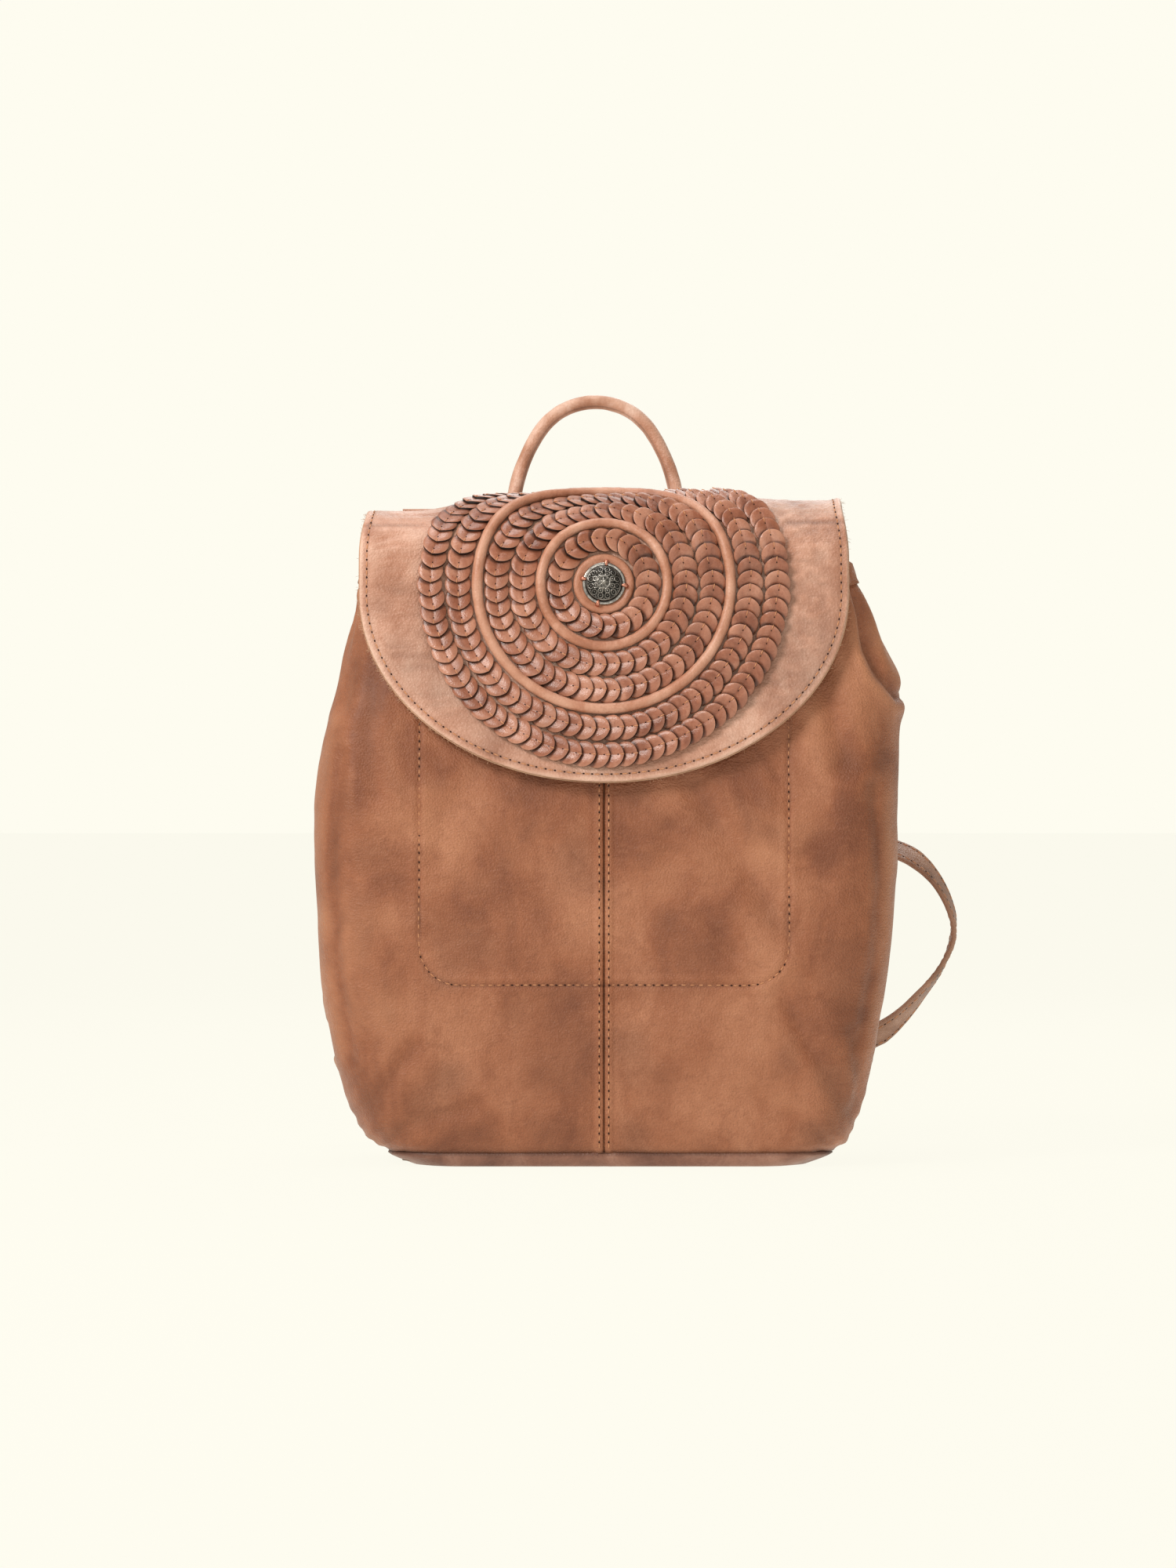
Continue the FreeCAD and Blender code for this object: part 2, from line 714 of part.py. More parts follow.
def make_handle():
    lean = Rotation(Vector(1, 0, 0), -cell("handle_lean"))
    foot = Vector(cell("handle_shift"), cell("handle_depth"), cell("handle_foot"))
    placement = Placement(foot, lean)
    roll = handle_tube(cell("handle_roll"))
    roll = roll.cut(handle_tube(cell("handle_bore")))
    for side in (-1, 1):
        end = Vector(side * cell("handle_half_span"), 0, 0)
        ball = Part.makeSphere(cell("handle_roll"), end)
        lower = Part.makeBox(2 * SPARE, 2 * SPARE, SPARE, end - Vector(SPARE, SPARE, SPARE))
        roll = roll.fuse(ball.common(lower))
    place_feature("handle_roll", roll.removeSplitter(), placement)
    place_feature("handle_core", handle_tube(cell("handle_core")), placement)
    inner = cell("leather_thick") + 2 * cell("seam_gap")
    tab_skin = skin(-inner - cell("handle_tab_thick"), -inner)
    for label, side in (("handle_tab_left", -1), ("handle_tab_right", 1)):
        middle = cell("handle_shift") + side * cell("handle_half_span")
        zone = slab(
            cell("handle_tab_width") / 2, 0, REACH,
            cell("handle_tab_low"), cell("handle_tab_top"), middle
        )
        place_feature(label, tab_skin.common(zone))


# ---------------------------------------------------------------- the shoulder straps

def band_section(point, along, across, width, thick):
    """A rectangle across a strap; across is roughly the strap's width direction."""
    along = Vector(along).normalize()
    across = Vector(across)
    across = (across - along * across.dot(along)).normalize()
    normal = along.cross(across)
    side, face = across * (width / 2), normal * (thick / 2)
    corners = [point - side - face, point + side - face, point + side + face, point - side + face]
    return Part.makePolygon(corners + [corners[0]])


def band(route):
    """A flat strap along a route of (point, width direction) pairs."""
    width, thick = cell("strap_width"), cell("strap_thick")
    sections = []
    for index, (point, across) in enumerate(route):
        before = route[max(index - 1, 0)][0]
        after = route[min(index + 1, len(route) - 1)][0]
        sections.append(band_section(point, after - before, across, width, thick))
    return Part.makeLoft(sections, True, True)


STRAP_TOP = Vector(34, 64, 245)       # where the right strap leaves its sewn top end
STRAP_FOOT = Vector(131, 62, 56)      # where it meets its lower tab
SHORT_BEND = Vector(44, 76, 228)      # from here the short half runs straight to the buckle
BUCKLE_RUN = Vector(0.50, 0.42, -0.757).normalize()
SIDEWAYS = Vector(1, 0, 0)
DEPTHWAYS = Vector(0, 1, 0)
TAIL_SLOT = (-3, 14)                  # where the prong's slot starts and ends along the strap
FLAT_ACROSS = (SIDEWAYS - BUCKLE_RUN * SIDEWAYS.dot(BUCKLE_RUN)).normalize()
SWING_AXIS = (STRAP_FOOT - STRAP_TOP).normalize()


def trim(shape, point, away):
    """Cuts off what lies beyond a plane across the strap's swing axis, near the axis only."""
    reach = cell("trim_reach")
    block = Part.makeBox(2 * reach, 2 * reach, reach, Vector(-reach, -reach, 0))
    block.Placement = Placement(point, Rotation(Vector(0, 0, 1), away))
    return shape.cut(block)


def buckle_place():
    """The buckle's frame: X along the strap, Z out of its outer face, origin in the heel bar."""
    outward = FLAT_ACROSS * -1
    normal = BUCKLE_RUN.cross(outward)
    heel = SHORT_BEND + BUCKLE_RUN * (cell("tail_length") + cell("buckle_stand"))
    return Placement(heel, Rotation(BUCKLE_RUN, outward, normal, "XYZ"))


def in_buckle(along, up):
    return buckle_place().multVec(Vector(along, 0, up))


def prong_slot(from_along, to_along):
    half = cell("prong_slot")
    low = Vector(from_along, -half, -SPARE)
    slot = Part.makeBox(to_along - from_along, 2 * half, 2 * SPARE, low)
    slot.Placement = buckle_place()
    return slot


def short_strap():
    """From the sewn top end to the eye round the buckle's heel bar."""
    run = BUCKLE_RUN
    strap = band([
        (STRAP_TOP - Vector(2, 2.4, -3.4), SIDEWAYS),
        (STRAP_TOP + Vector(2, 2.4, -3.4), SIDEWAYS),
        (SHORT_BEND - run * cell("end_turn"), FLAT_ACROSS),
        (SHORT_BEND + run * cell("end_turn"), FLAT_ACROSS),
        (in_buckle(-cell("strap_eye_inner"), 0), FLAT_ACROSS),
    ])
    width = cell("strap_width")
    eye = Part.makeCylinder(
        cell("strap_eye_outer"), width, Vector(0, -width / 2, 0), Vector(0, 1, 0)
    )
    bore = Part.makeCylinder(
        cell("strap_eye_inner"), width + 2, Vector(0, -width / 2 - 1, 0), Vector(0, 1, 0)
    )
    eye.Placement = buckle_place()
    bore.Placement = buckle_place()
    strap = strap.fuse(eye).cut(bore)
    strap = strap.cut(prong_slot(-cell("strap_eye_outer") - 1, cell("strap_eye_outer") + 1))
    return trim(strap, STRAP_TOP + SWING_AXIS * cell("swing_gap"), SWING_AXIS * -1)


def long_strap_route():
    """From its tail over the buckle, behind the front bar and round to the lower tab."""
    lift = cell("tail_lift")
    under = -cell("wire_radius") - cell("buckle_play") - cell("strap_thick") / 2
    return [
        (in_buckle(-cell("tail_length"), lift), FLAT_ACROSS),
        (in_buckle(1, lift), FLAT_ACROSS),
        (in_buckle(4, lift - 0.7), FLAT_ACROSS),
        (in_buckle(17, under + 0.7), FLAT_ACROSS),
        (in_buckle(20, under), FLAT_ACROSS),
        (in_buckle(30, under), FLAT_ACROSS),
        (Vector(94, 110.5, 167), Vector(0.95, 0.3, 0.3)),
        (Vector(112, 107, 161.5), Vector(0.6, 0.9, 0.3)),
        (Vector(129, 97.5, 157), Vector(0.3, 1, 0.1)),
        (Vector(143, 87.5, 153.5), DEPTHWAYS),
        (Vector(157, 79.5, 147), DEPTHWAYS),
        (Vector(168.5, 76, 135), DEPTHWAYS),
        (Vector(175.5, 74.5, 119), DEPTHWAYS),
        (Vector(175.5, 73, 106), DEPTHWAYS),
        (Vector(169.5, 71.5, 92), Vector(0.1, 1, -0.05)),
        (Vector(160, 69.5, 79.5), Vector(0.25, 1, -0.1)),
        (Vector(150, 67, 68.5), Vector(0.4, 0.9, -0.2)),
        (Vector(140, 64.5, 60.5), Vector(0.5, 0.8, -0.4)),
        (STRAP_FOOT, Vector(0.55, 0.75, -0.45)),
        (STRAP_FOOT - Vector(6, 2, 6), Vector(0.55, 0.75, -0.45)),
    ]


def long_strap():
    strap = band(long_strap_route()).cut(prong_slot(*TAIL_SLOT))
    return trim(strap, STRAP_FOOT - SWING_AXIS * cell("swing_gap"), SWING_AXIS)


def make_straps():
    """The right strap as it hangs out beside the bag; the left is its mirror, swung behind."""
    pieces = {
        "strap_short": short_strap(),
        "strap_long": long_strap(),
        "buckle_frame": buckle_frame(),
        "buckle_prong": buckle_prong(),
        "buckle_keeper": buckle_keeper(),
    }
    left_axis = Vector(-SWING_AXIS.x, SWING_AXIS.y, SWING_AXIS.z)
    left_top = Vector(-STRAP_TOP.x, STRAP_TOP.y, STRAP_TOP.z)
    hang_back = Placement(Vector(), Rotation(left_axis, cell("left_strap_turn")), left_top)
    for name, shape in pieces.items():
        place_feature(f"{name}_right", shape)
        place_feature(f"{name}_left", shape.mirror(Vector(), SIDEWAYS), hang_back)


def buckle_frame():
    """A round wire bent into a rounded rectangle round the strap, one side of it the heel bar."""
    length, half, corner = cell("buckle_length"), cell("buckle_half_width"), cell("buckle_corner")
    bow = corner * (1 - math.sqrt(0.5))
    near, far = half - corner, length - corner

    def at(along, sideways):
        return Vector(along, sideways, 0)

    edges = [
        Part.LineSegment(at(0, 0), at(0, near)),
        Part.Arc(at(0, near), at(bow, half - bow), at(corner, half)),
        Part.LineSegment(at(corner, half), at(far, half)),
        Part.Arc(at(far, half), at(length - bow, half - bow), at(length, near)),
        Part.LineSegment(at(length, near), at(length, -near)),
        Part.Arc(at(length, -near), at(length - bow, bow - half), at(far, -half)),
        Part.LineSegment(at(far, -half), at(corner, -half)),
        Part.Arc(at(corner, -half), at(bow, bow - half), at(0, -near)),
        Part.LineSegment(at(0, -near), at(0, 0)),
    ]
    path = Part.Wire([edge.toShape() for edge in edges])
    ring = Part.Wire([Part.Circle(Vector(), Vector(0, 1, 0), cell("wire_radius")).toShape()])
    frame = path.makePipeShell([ring], True, False)
    frame.Placement = buckle_place()
    return frame


def buckle_prong():
    """A round eye on the heel bar with a straight pin that rests on the front bar."""
    eye = Part.makeTorus(
        cell("wire_radius") + cell("prong_eye_gap") + cell("prong_eye"), cell("prong_eye"),
        Vector(), Vector(0, 1, 0)
    )
    height = cell("wire_radius") + cell("prong_radius") + cell("prong_lift")
    pin = Part.makeCylinder(
        cell("prong_radius"), cell("prong_length"), Vector(0, 0, height), Vector(1, 0, 0)
    )
    prong = eye.fuse(pin)
    prong.Placement = buckle_place()
    return prong


def buckle_keeper():
    """A leather loop sewn to the short half that holds the tail down."""
    wall, length = cell("keeper_wall"), cell("keeper_length")
    half = cell("strap_width") / 2 + cell("buckle_play")
    low = -cell("strap_thick") / 2 - cell("keeper_under")
    high = cell("tail_lift") + cell("strap_thick") / 2 + cell("buckle_play")
    corner = Vector(-cell("keeper_place") - length / 2, -half - wall, low - wall)
    outer = Part.makeBox(length, 2 * (half + wall), high - low + 2 * wall, corner)
    inner = Part.makeBox(length + 2, 2 * half, high - low, corner + Vector(-1, wall, wall))
    keeper = outer.cut(inner)
    keeper.Placement = buckle_place()
    return keeper


def strap_end():
    """The sewn top end of the right strap, curving away from the back panel."""
    lift = cell("strap_root_gap") + cell("strap_thick") / 2
    route = []
    for level in (277, 262):
        route.append((Vector(STRAP_TOP.x, wall_depth(level, front=False) + lift, level), SIDEWAYS))
    route.append((Vector(STRAP_TOP.x, 55.5, 253.5), SIDEWAYS))
    route.append((STRAP_TOP - Vector(0, 0.5, -0.5), SIDEWAYS))
    route.append((STRAP_TOP + Vector(2, 5.5, -6), SIDEWAYS))
    return trim(band(route), STRAP_TOP, SWING_AXIS)


def corner_skin_point(level, off_skin):
    """A point outside the bag's back right corner, on the corner's own diagonal."""
    below = [station for station in STATIONS if cell(f"{station}_height") <= level][-1]
    above = STATIONS[STATIONS.index(below) + 1]
    span = cell(f"{above}_height") - cell(f"{below}_height")
    part = (level - cell(f"{below}_height")) / span

    def between(name):
        return cell(f"{below}_{name}") * (1 - part) + cell(f"{above}_{name}") * part

    radius = between("corner")
    diagonal = math.sqrt(0.5) * (radius + off_skin)
    return Vector(between("half") - radius + diagonal, between("back") - radius + diagonal, level)


def strap_foot_tab():
    """The lower right tab, sewn flat on the back corner and curving out to meet the strap."""
    tangent = Vector(1, -1, 0)
    tab = band([
        (corner_skin_point(20, cell("foot_stand_off")), tangent),
        (corner_skin_point(34, cell("foot_stand_off")), tangent),
        (corner_skin_point(44, 6), Vector(1, -0.5, 0)),
        (STRAP_FOOT - Vector(0.6, 0.6, 1.0), Vector(0.8, 0.4, -0.4)),
        (STRAP_FOOT + Vector(3, 3, 5), Vector(0.8, 0.4, -0.4)),
    ])
    return trim(tab, STRAP_FOOT, SWING_AXIS * -1)


def make_strap_roots():
    top_end = strap_end()
    other_end = top_end.mirror(Vector(), SIDEWAYS)
    place_feature("strap_end_right", top_end)
    place_feature("strap_end_left", other_end)
    cover = skin(-cell("patch_thick") - cell("seam_gap"), -cell("seam_gap"))
    zone = slab(cell("patch_half_width"), 0, REACH, cell("patch_low"), cell("patch_top"))
    place_feature("strap_patch", cover.common(zone).cut(top_end).cut(other_end))
    tab = strap_foot_tab()
    place_feature("strap_tab_right", tab)
    place_feature("strap_tab_left", tab.mirror(Vector(), SIDEWAYS))


# ---------------------------------------------------------------- build, check and write

def build():
    make_walls()
    make_base()
    make_board()
    make_lining()
    make_pocket()
    make_flap()
    make_anchor_strip()
    make_scale_rings()
    make_piping("piping_outer", cell("piping_outer_radius"), cell("piping_wire_outer"))
    make_piping("piping_inner", cell("piping_inner_radius"), cell("piping_wire_inner"))
    make_medallion()
    make_snap()
    make_handle()
    make_strap_roots()
    make_straps()
    document.recompute()


def check():
    for thing in document.Objects:
        if "Invalid" in thing.State or "Error" in thing.State:
            raise RuntimeError(f"{thing.Label} failed: {thing.State}")
    for part in sub_parts:
        if part.Shape.isNull() or not part.Shape.isValid():
            raise RuntimeError(f"{part.Label} has no valid shape")


def write():
    os.makedirs("parts", exist_ok=True)
    for part in sub_parts:
        part.Shape.exportStep(os.path.join("parts", f"{part.Label}.step"))


build()
check()
write()
print(len(sub_parts), "sub-parts written")
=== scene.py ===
import math

import bpy
import numpy as np
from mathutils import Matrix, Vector


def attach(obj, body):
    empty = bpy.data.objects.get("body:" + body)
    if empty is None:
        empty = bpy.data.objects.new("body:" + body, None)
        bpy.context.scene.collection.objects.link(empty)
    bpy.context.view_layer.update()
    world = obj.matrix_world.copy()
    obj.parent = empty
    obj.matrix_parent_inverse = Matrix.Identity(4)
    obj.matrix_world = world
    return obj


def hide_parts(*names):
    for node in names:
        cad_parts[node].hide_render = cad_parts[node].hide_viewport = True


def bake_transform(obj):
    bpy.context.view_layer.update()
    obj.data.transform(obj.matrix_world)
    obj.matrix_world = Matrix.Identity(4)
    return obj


# Looks of a small leather backpack. Lengths are millimetres until a mesh is made, then metres.

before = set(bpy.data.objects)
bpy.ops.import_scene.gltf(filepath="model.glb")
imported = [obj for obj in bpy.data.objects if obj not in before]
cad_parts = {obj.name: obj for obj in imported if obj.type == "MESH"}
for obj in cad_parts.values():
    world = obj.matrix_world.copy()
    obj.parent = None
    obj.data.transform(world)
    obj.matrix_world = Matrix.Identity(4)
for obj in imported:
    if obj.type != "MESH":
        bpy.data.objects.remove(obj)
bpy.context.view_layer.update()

MM = 0.001
X = np.array([1.0, 0.0, 0.0])


def unit(v):
    v = np.asarray(v, float)
    return v / np.maximum(np.linalg.norm(v, axis=-1, keepdims=True), 1e-12)


def ramp(value, low, high):
    """0 below low, 1 above high, smooth in between."""
    t = np.clip((np.asarray(value, float) - low) / (high - low), 0, 1)
    return t * t * (3 - 2 * t)


def bell(distance, width):
    """1 at no distance, fading smoothly over about width on each side."""
    return np.exp(-((np.asarray(distance, float) / width) ** 2))


def circle(count):
    """Angles spread evenly over a full turn."""
    return 2 * np.pi * np.arange(count) / count


def spokes(first, second, turn):
    """Directions round a path at the angles in turn, from two directions across it."""
    first, second = np.atleast_2d(first)[:, None, :], np.atleast_2d(second)[:, None, :]
    return first * np.cos(turn)[None, :, None] + second * np.sin(turn)[None, :, None]


def length_along(path):
    """The distance run along a path of points, at each of them."""
    return np.concatenate([[0], np.cumsum(np.linalg.norm(np.diff(path, axis=0), axis=1))])


# ---------------------------------------------------------------- repeatable bumps

def lattice(cell, seed):
    """A fixed value from -1 to 1 for each whole-number cell."""
    mixed = cell[..., 0] * 73856093 ^ cell[..., 1] * 19349663 ^ cell[..., 2] * 83492791 ^ seed * 7919
    mixed = (mixed ^ (mixed >> 13)) * 1274126177 & 0x7FFFFFFF
    mixed = (mixed ^ (mixed >> 15)) * 668265263 & 0x7FFFFFFF
    return mixed / 0x3FFFFFFF - 1


def bumps(points, size, seed=0):
    """Smooth lumps about size millimetres across, from -1 to 1; size may differ along each axis."""
    p = np.asarray(points, float) / size
    cell = np.floor(p).astype(np.int64)
    part = p - cell
    part = part * part * (3 - 2 * part)
    value = 0
    for corner in range(8):
        step = np.array([corner & 1, corner >> 1 & 1, corner >> 2 & 1])
        weight = np.prod(np.where(step, part, 1 - part), axis=-1)
        value = value + weight * lattice(cell + step, seed)
    return value


def lumps(points, *layers):
    """Bumps added up; each layer is a height, a size and a seed."""
    return sum(height * bumps(points, size, seed) for height, size, seed in layers)


# ---------------------------------------------------------------- meshes

def set_kinds(mesh, kinds):
    """Gives each face the material of its kind, a number in the mesh's list of materials."""
    mesh.polygons.foreach_set("material_index", np.asarray(kinds, np.int32))


def settle(piece, body, nodes):
    """Rides on a body and stands for its CAD nodes, which it hides."""
    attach(piece, body)
    if nodes:
        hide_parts(*([nodes] if isinstance(nodes, str) else nodes))


def make_mesh(name, points, faces, materials, face_material=None, tone=None):
    """A smooth mesh from points in millimetres; tone lightens it (above 0) or darkens it (below 0), for wear,
    dirt, painted highlight and painted shade.
    """
    mesh = bpy.data.meshes.new(name)
    points = np.asarray(points, float).reshape(-1, 3)
    mesh.from_pydata((points * MM).tolist(), [], [list(f) for f in faces])
    mesh.update()
    for material in materials:
        mesh.materials.append(material)
    if face_material is not None:
        set_kinds(mesh, face_material)
    mesh.shade_smooth()
    place = mesh.attributes.new("place", "FLOAT_VECTOR", "POINT")
    place.data.foreach_set("vector", points.astype(np.float32).ravel())
    shade = mesh.attributes.new("tone", "FLOAT", "POINT")
    values = np.zeros(len(points)) if tone is None else np.broadcast_to(tone, len(points))
    shade.data.foreach_set("value", np.asarray(values, np.float32))
    piece = bpy.data.objects.new(name, mesh)
    bpy.context.scene.collection.objects.link(piece)
    return piece


def grid_faces(rows, columns, around=False):
    """Quads of a grid of points numbered row by row; around joins the last column to the first."""
    r = np.arange(rows - 1)[:, None]
    c = np.arange(columns if around else columns - 1)[None, :]
    after = (c + 1) % columns
    corners = (r * columns + c, r * columns + after, (r + 1) * columns + after, (r + 1) * columns + c)
    return np.stack([np.broadcast_to(k, (rows - 1, c.shape[1])) for k in corners], -1).reshape(-1, 4)


def thick_sheet(name, outer, inner, materials, around=False, tone=None, rim_material=0):
    """A closed sheet of leather or cloth between two grids of points."""
    rows, columns = outer.shape[:2]
    count = rows * columns
    front = grid_faces(rows, columns, around)
    faces = [front, front[:, ::-1] + count]
    edge = list(range(columns)) if not around else list(range(columns)) + [0]
    loops = [edge, [(rows - 1) * columns + k for k in edge][::-1]]
    if not around:
        loops.append([k * columns for k in range(rows)][::-1])
        loops.append([k * columns + columns - 1 for k in range(rows)])
    for loop in loops:
        a, b = np.array(loop[:-1]), np.array(loop[1:])
        faces.append(np.stack([b, a, a + count, b + count], -1))
    kinds = np.zeros(sum(len(f) for f in faces), int)
    kinds[2 * len(front):] = rim_material
    both = None if tone is None else np.concatenate([np.ravel(tone)] * 2)
    points = np.concatenate([outer.reshape(-1, 3), inner.reshape(-1, 3)])
    return make_mesh(name, points, np.concatenate(faces), materials, kinds, both)


def swept(name, rings, materials, closed=False, tone=None):
    """A tube through rings of points, closed into a loop or capped at both ends."""
    count, size = rings.shape[:2]
    if closed:
        rings = np.concatenate([rings, rings[:1]])
        faces = grid_faces(count + 1, size, True) % (count * size)
        points = rings[:-1]
        faces = [tuple(f) for f in faces]
    else:
        faces = [tuple(f) for f in grid_faces(count, size, True)]
        faces.append(tuple(range(size))[::-1])
        faces.append(tuple(range((count - 1) * size, count * size)))
        points = rings
    shade = None if tone is None else np.ravel(tone)
    return make_mesh(name, points, faces, materials, None, shade)


def scattered(name, base_points, base_faces, kinds, frames, centres, materials, tone=None):
    """Copies of one small shape; frames holds each copy's three axes as rows."""
    count, size = len(centres), len(base_points)
    points = np.einsum("vk,nkj->nvj", base_points, frames) + centres[:, None, :]
    faces = [tuple(k + copy * size for k in f) for copy in range(count) for f in base_faces]
    shade = None if tone is None else np.ravel(tone)
    return make_mesh(name, points, faces, materials, list(kinds) * count, shade)


def bead(sides=8, bands=5):
    """The points and faces of a ball of radius 1."""
    points = [(0, 0, 1)]
    for band in range(1, bands):
        down = math.pi * band / bands
        for side in range(sides):
            turn = 2 * math.pi * side / sides
            points.append((math.sin(down) * math.cos(turn), math.sin(down) * math.sin(turn), math.cos(down)))
    points.append((0, 0, -1))
    last = len(points) - 1
    faces = []
    for side in range(sides):
        after = (side + 1) % sides
        faces.append((0, 1 + side, 1 + after))
        for band in range(bands - 2):
            a = 1 + band * sides
            faces.append((a + side, a + sides + side, a + sides + after, a + after))
        a = 1 + (bands - 2) * sides
        faces.append((last, a + after, a + side))
    return np.array(points), faces


def outward_normals(grid, outside):
    """Unit normals of a grid of points, on the side that outside points to."""
    along = np.gradient(grid, axis=1)
    up = np.gradient(grid, axis=0)
    normal = unit(np.cross(along, up))
    return normal * np.sign((normal * outside).sum(-1, keepdims=True) + 1e-9)


def spline(points, steps):
    """A smooth curve through the points, with the given number of steps between each two."""
    p = np.asarray(points, float)
    p = np.concatenate([2 * p[:1] - p[1:2], p, 2 * p[-1:] - p[-2:-1]])
    t = np.linspace(0, 1, steps, endpoint=False)[:, None]
    parts = []
    for k in range(1, len(p) - 2):
        a, b, c, d = p[k - 1], p[k], p[k + 1], p[k + 2]
        gaps = [max(np.linalg.norm(q), 1e-6) ** 0.5 for q in (b - a, c - b, d - c)]
        knots = np.concatenate([[0], np.cumsum(gaps)])
        x = knots[1] + t * (knots[2] - knots[1])

        def mix(u, v, i, j):
            return (u * (knots[j] - x) + v * (x - knots[i])) / (knots[j] - knots[i])

        ab, bc, cd = mix(a, b, 0, 1), mix(b, c, 1, 2), mix(c, d, 2, 3)
        parts.append(mix(mix(ab, bc, 0, 2), mix(bc, cd, 1, 3), 1, 2))
    return np.concatenate(parts + [p[-2:-1]])


def evenly(path, pitch):
    """Indexes into a dense path of points that are about pitch apart."""
    run = length_along(path)
    wanted = np.arange(pitch / 2, run[-1], pitch)
    return np.clip(np.searchsorted(run, wanted), 1, len(path) - 2)


def stitches(name, rows, thread, hole_shade, pitch=4.5, length=2.9, radius=0.36):
    """Thread along rows, with dark beads between the stitches as the painted shade of the needle holes; each
    row is a dense path of points and the normals on it.
    """
    points, faces = bead()
    frames, centres, kinds = [], [], []
    for path, normal in rows:
        at = evenly(path, pitch)
        along = unit(path[at + 1] - path[at - 1])
        up = unit(normal[at] - along * (normal[at] * along).sum(-1, keepdims=True))
        side = np.cross(up, along)
        wobble = bumps(path[at], 3.0, 41)[:, None]
        centre = path[at] + side * wobble * 0.12
        frames.append(np.stack([side * radius, along * length / 2, up * radius], 1))
        centres.append(centre + up * 0.05)
        # A flat dark bead between stitches: the painted shade of a needle hole.
        gap = path[at] + along * pitch / 2
        frames.append(np.stack([side * 0.42, along * 0.62, up * 0.16], 1))
        centres.append(gap + up * 0.02)
        kinds += [0] * len(at) + [1] * len(at)
    frames, centres = np.concatenate(frames), np.concatenate(centres)
    piece = scattered(name, points, faces, [0] * len(faces), frames, centres, [thread, hole_shade])
    set_kinds(piece.data, np.repeat(kinds, len(faces)))
    return piece


# ---------------------------------------------------------------- materials

def colour(red, green, blue):
    """A colour given as screen values from 0 to 255, in the linear values that shaders use."""
    def linear(v):
        v = v / 255
        return v / 12.92 if v <= 0.04045 else ((v + 0.055) / 1.055) ** 2.4
    return (linear(red), linear(green), linear(blue), 1)


class Graph:
    """A short way of writing a material's nodes. A mesh made here carries its resting place in
    millimetres and its tone; a CAD mesh doesn't, so its place is worked out from its own points."""

    def __init__(self, name, made_here=True):
        self.material = bpy.data.materials.new(name)
        self.material.use_nodes = True
        self.tree = self.material.node_tree
        self.shader = self.tree.nodes["Principled BSDF"]
        if made_here:
            self.place = self.attribute("place", "Vector")
        else:
            objects = self.node("ShaderNodeTexCoord").outputs["Object"]
            self.place = self.vector("SCALE", objects, scale=1000)

    def attribute(self, name, output):
        return self.node("ShaderNodeAttribute", attribute_name=name).outputs[output]

    def node(self, kind, **settings):
        made = self.tree.nodes.new(kind)
        for key, value in settings.items():
            setattr(made, key, value)
        return made

    def put(self, socket, value):
        if isinstance(value, bpy.types.NodeSocket):
            self.tree.links.new(value, socket)
        elif value is not None:
            socket.default_value = value

    def vector(self, operation, a, b=None, scale=None):
        made = self.node("ShaderNodeVectorMath", operation=operation)
        self.put(made.inputs[0], a)
        self.put(made.inputs[1], b)
        if scale is not None:
            self.put(made.inputs["Scale"], scale)
        return made.outputs[0]

    def maths(self, operation, a, b=None, c=None):
        made = self.node("ShaderNodeMath", operation=operation)
        for socket, value in zip(made.inputs, (a, b, c)):
            self.put(socket, value)
        return made.outputs[0]

    def noise(self, size, detail=3.0, rough=0.55, stretch=None, warp=0.0):
        made = self.node("ShaderNodeTexNoise")
        where = self.place if stretch is None else self.vector("MULTIPLY", self.place, stretch)
        self.put(made.inputs["Vector"], where)
        self.put(made.inputs["Scale"], 1 / size)
        self.put(made.inputs["Detail"], detail)
        self.put(made.inputs["Roughness"], rough)
        self.put(made.inputs["Distortion"], warp)
        return made.outputs["Fac"]

    def cells(self, size):
        made = self.node("ShaderNodeTexVoronoi")
        self.put(made.inputs["Vector"], self.place)
        self.put(made.inputs["Scale"], 1 / size)
        return made.outputs["Distance"]

    def spread(self, value, low, high, to_low=0.0, to_high=1.0):
        made = self.node("ShaderNodeMapRange")
        names = ("Value", "From Min", "From Max", "To Min", "To Max")
        for name, given in zip(names, (value, low, high, to_low, to_high)):
            self.put(made.inputs[name], given)
        return made.outputs["Result"]

    def ramp(self, value, stops):
        made = self.node("ShaderNodeValToRGB")
        self.put(made.inputs["Fac"], value)
        band = made.color_ramp
        while len(band.elements) < len(stops):
            band.elements.new(0.5)
        for element, (at, shade) in zip(band.elements, stops):
            element.position, element.color = at, shade
        return made.outputs["Color"]

    def mix(self, share, a, b, blend="MIX"):
        made = self.node("ShaderNodeMix", data_type="RGBA", blend_type=blend)
        self.put(made.inputs[0], share)
        self.put(made.inputs[6], a)
        self.put(made.inputs[7], b)
        return made.outputs[2]

    def bump(self, height, distance):
        made = self.node("ShaderNodeBump")
        self.put(made.inputs["Height"], height)
        self.put(made.inputs["Distance"], distance * MM)
        self.put(made.inputs["Strength"], 1.0)
        self.put(self.shader.inputs["Normal"], made.outputs["Normal"])

    def finish(self, **sockets):
        names = {"base": "Base Color", "rough": "Roughness", "metal": "Metallic", "coat": "Coat Weight",
                 "coat_rough": "Coat Roughness", "sheen": "Sheen Weight", "sheen_rough": "Sheen Roughness",
                 "sheen_tint": "Sheen Tint", "specular": "Specular IOR Level"}
        for key, value in sockets.items():
            self.put(self.shader.inputs[names[key]], value)
        return self.material


DIRT_AND_SHADE_SHARE = 0.42       # of the dark dye's brightness, left in the dirtiest places and the deepest painted shade
WEAR_AND_HIGHLIGHT_SHARE = 0.45       # how far the palest rubbed places and painted highlights go from the light dye towards white
CLOTH_THREADS = 0.55    # from one thread of the cloth to the next
# black of the patina in hollows, also used for painted shade on the stud
TARNISH_AND_SHADE_BLACK = (0.012, 0.012, 0.011, 1)


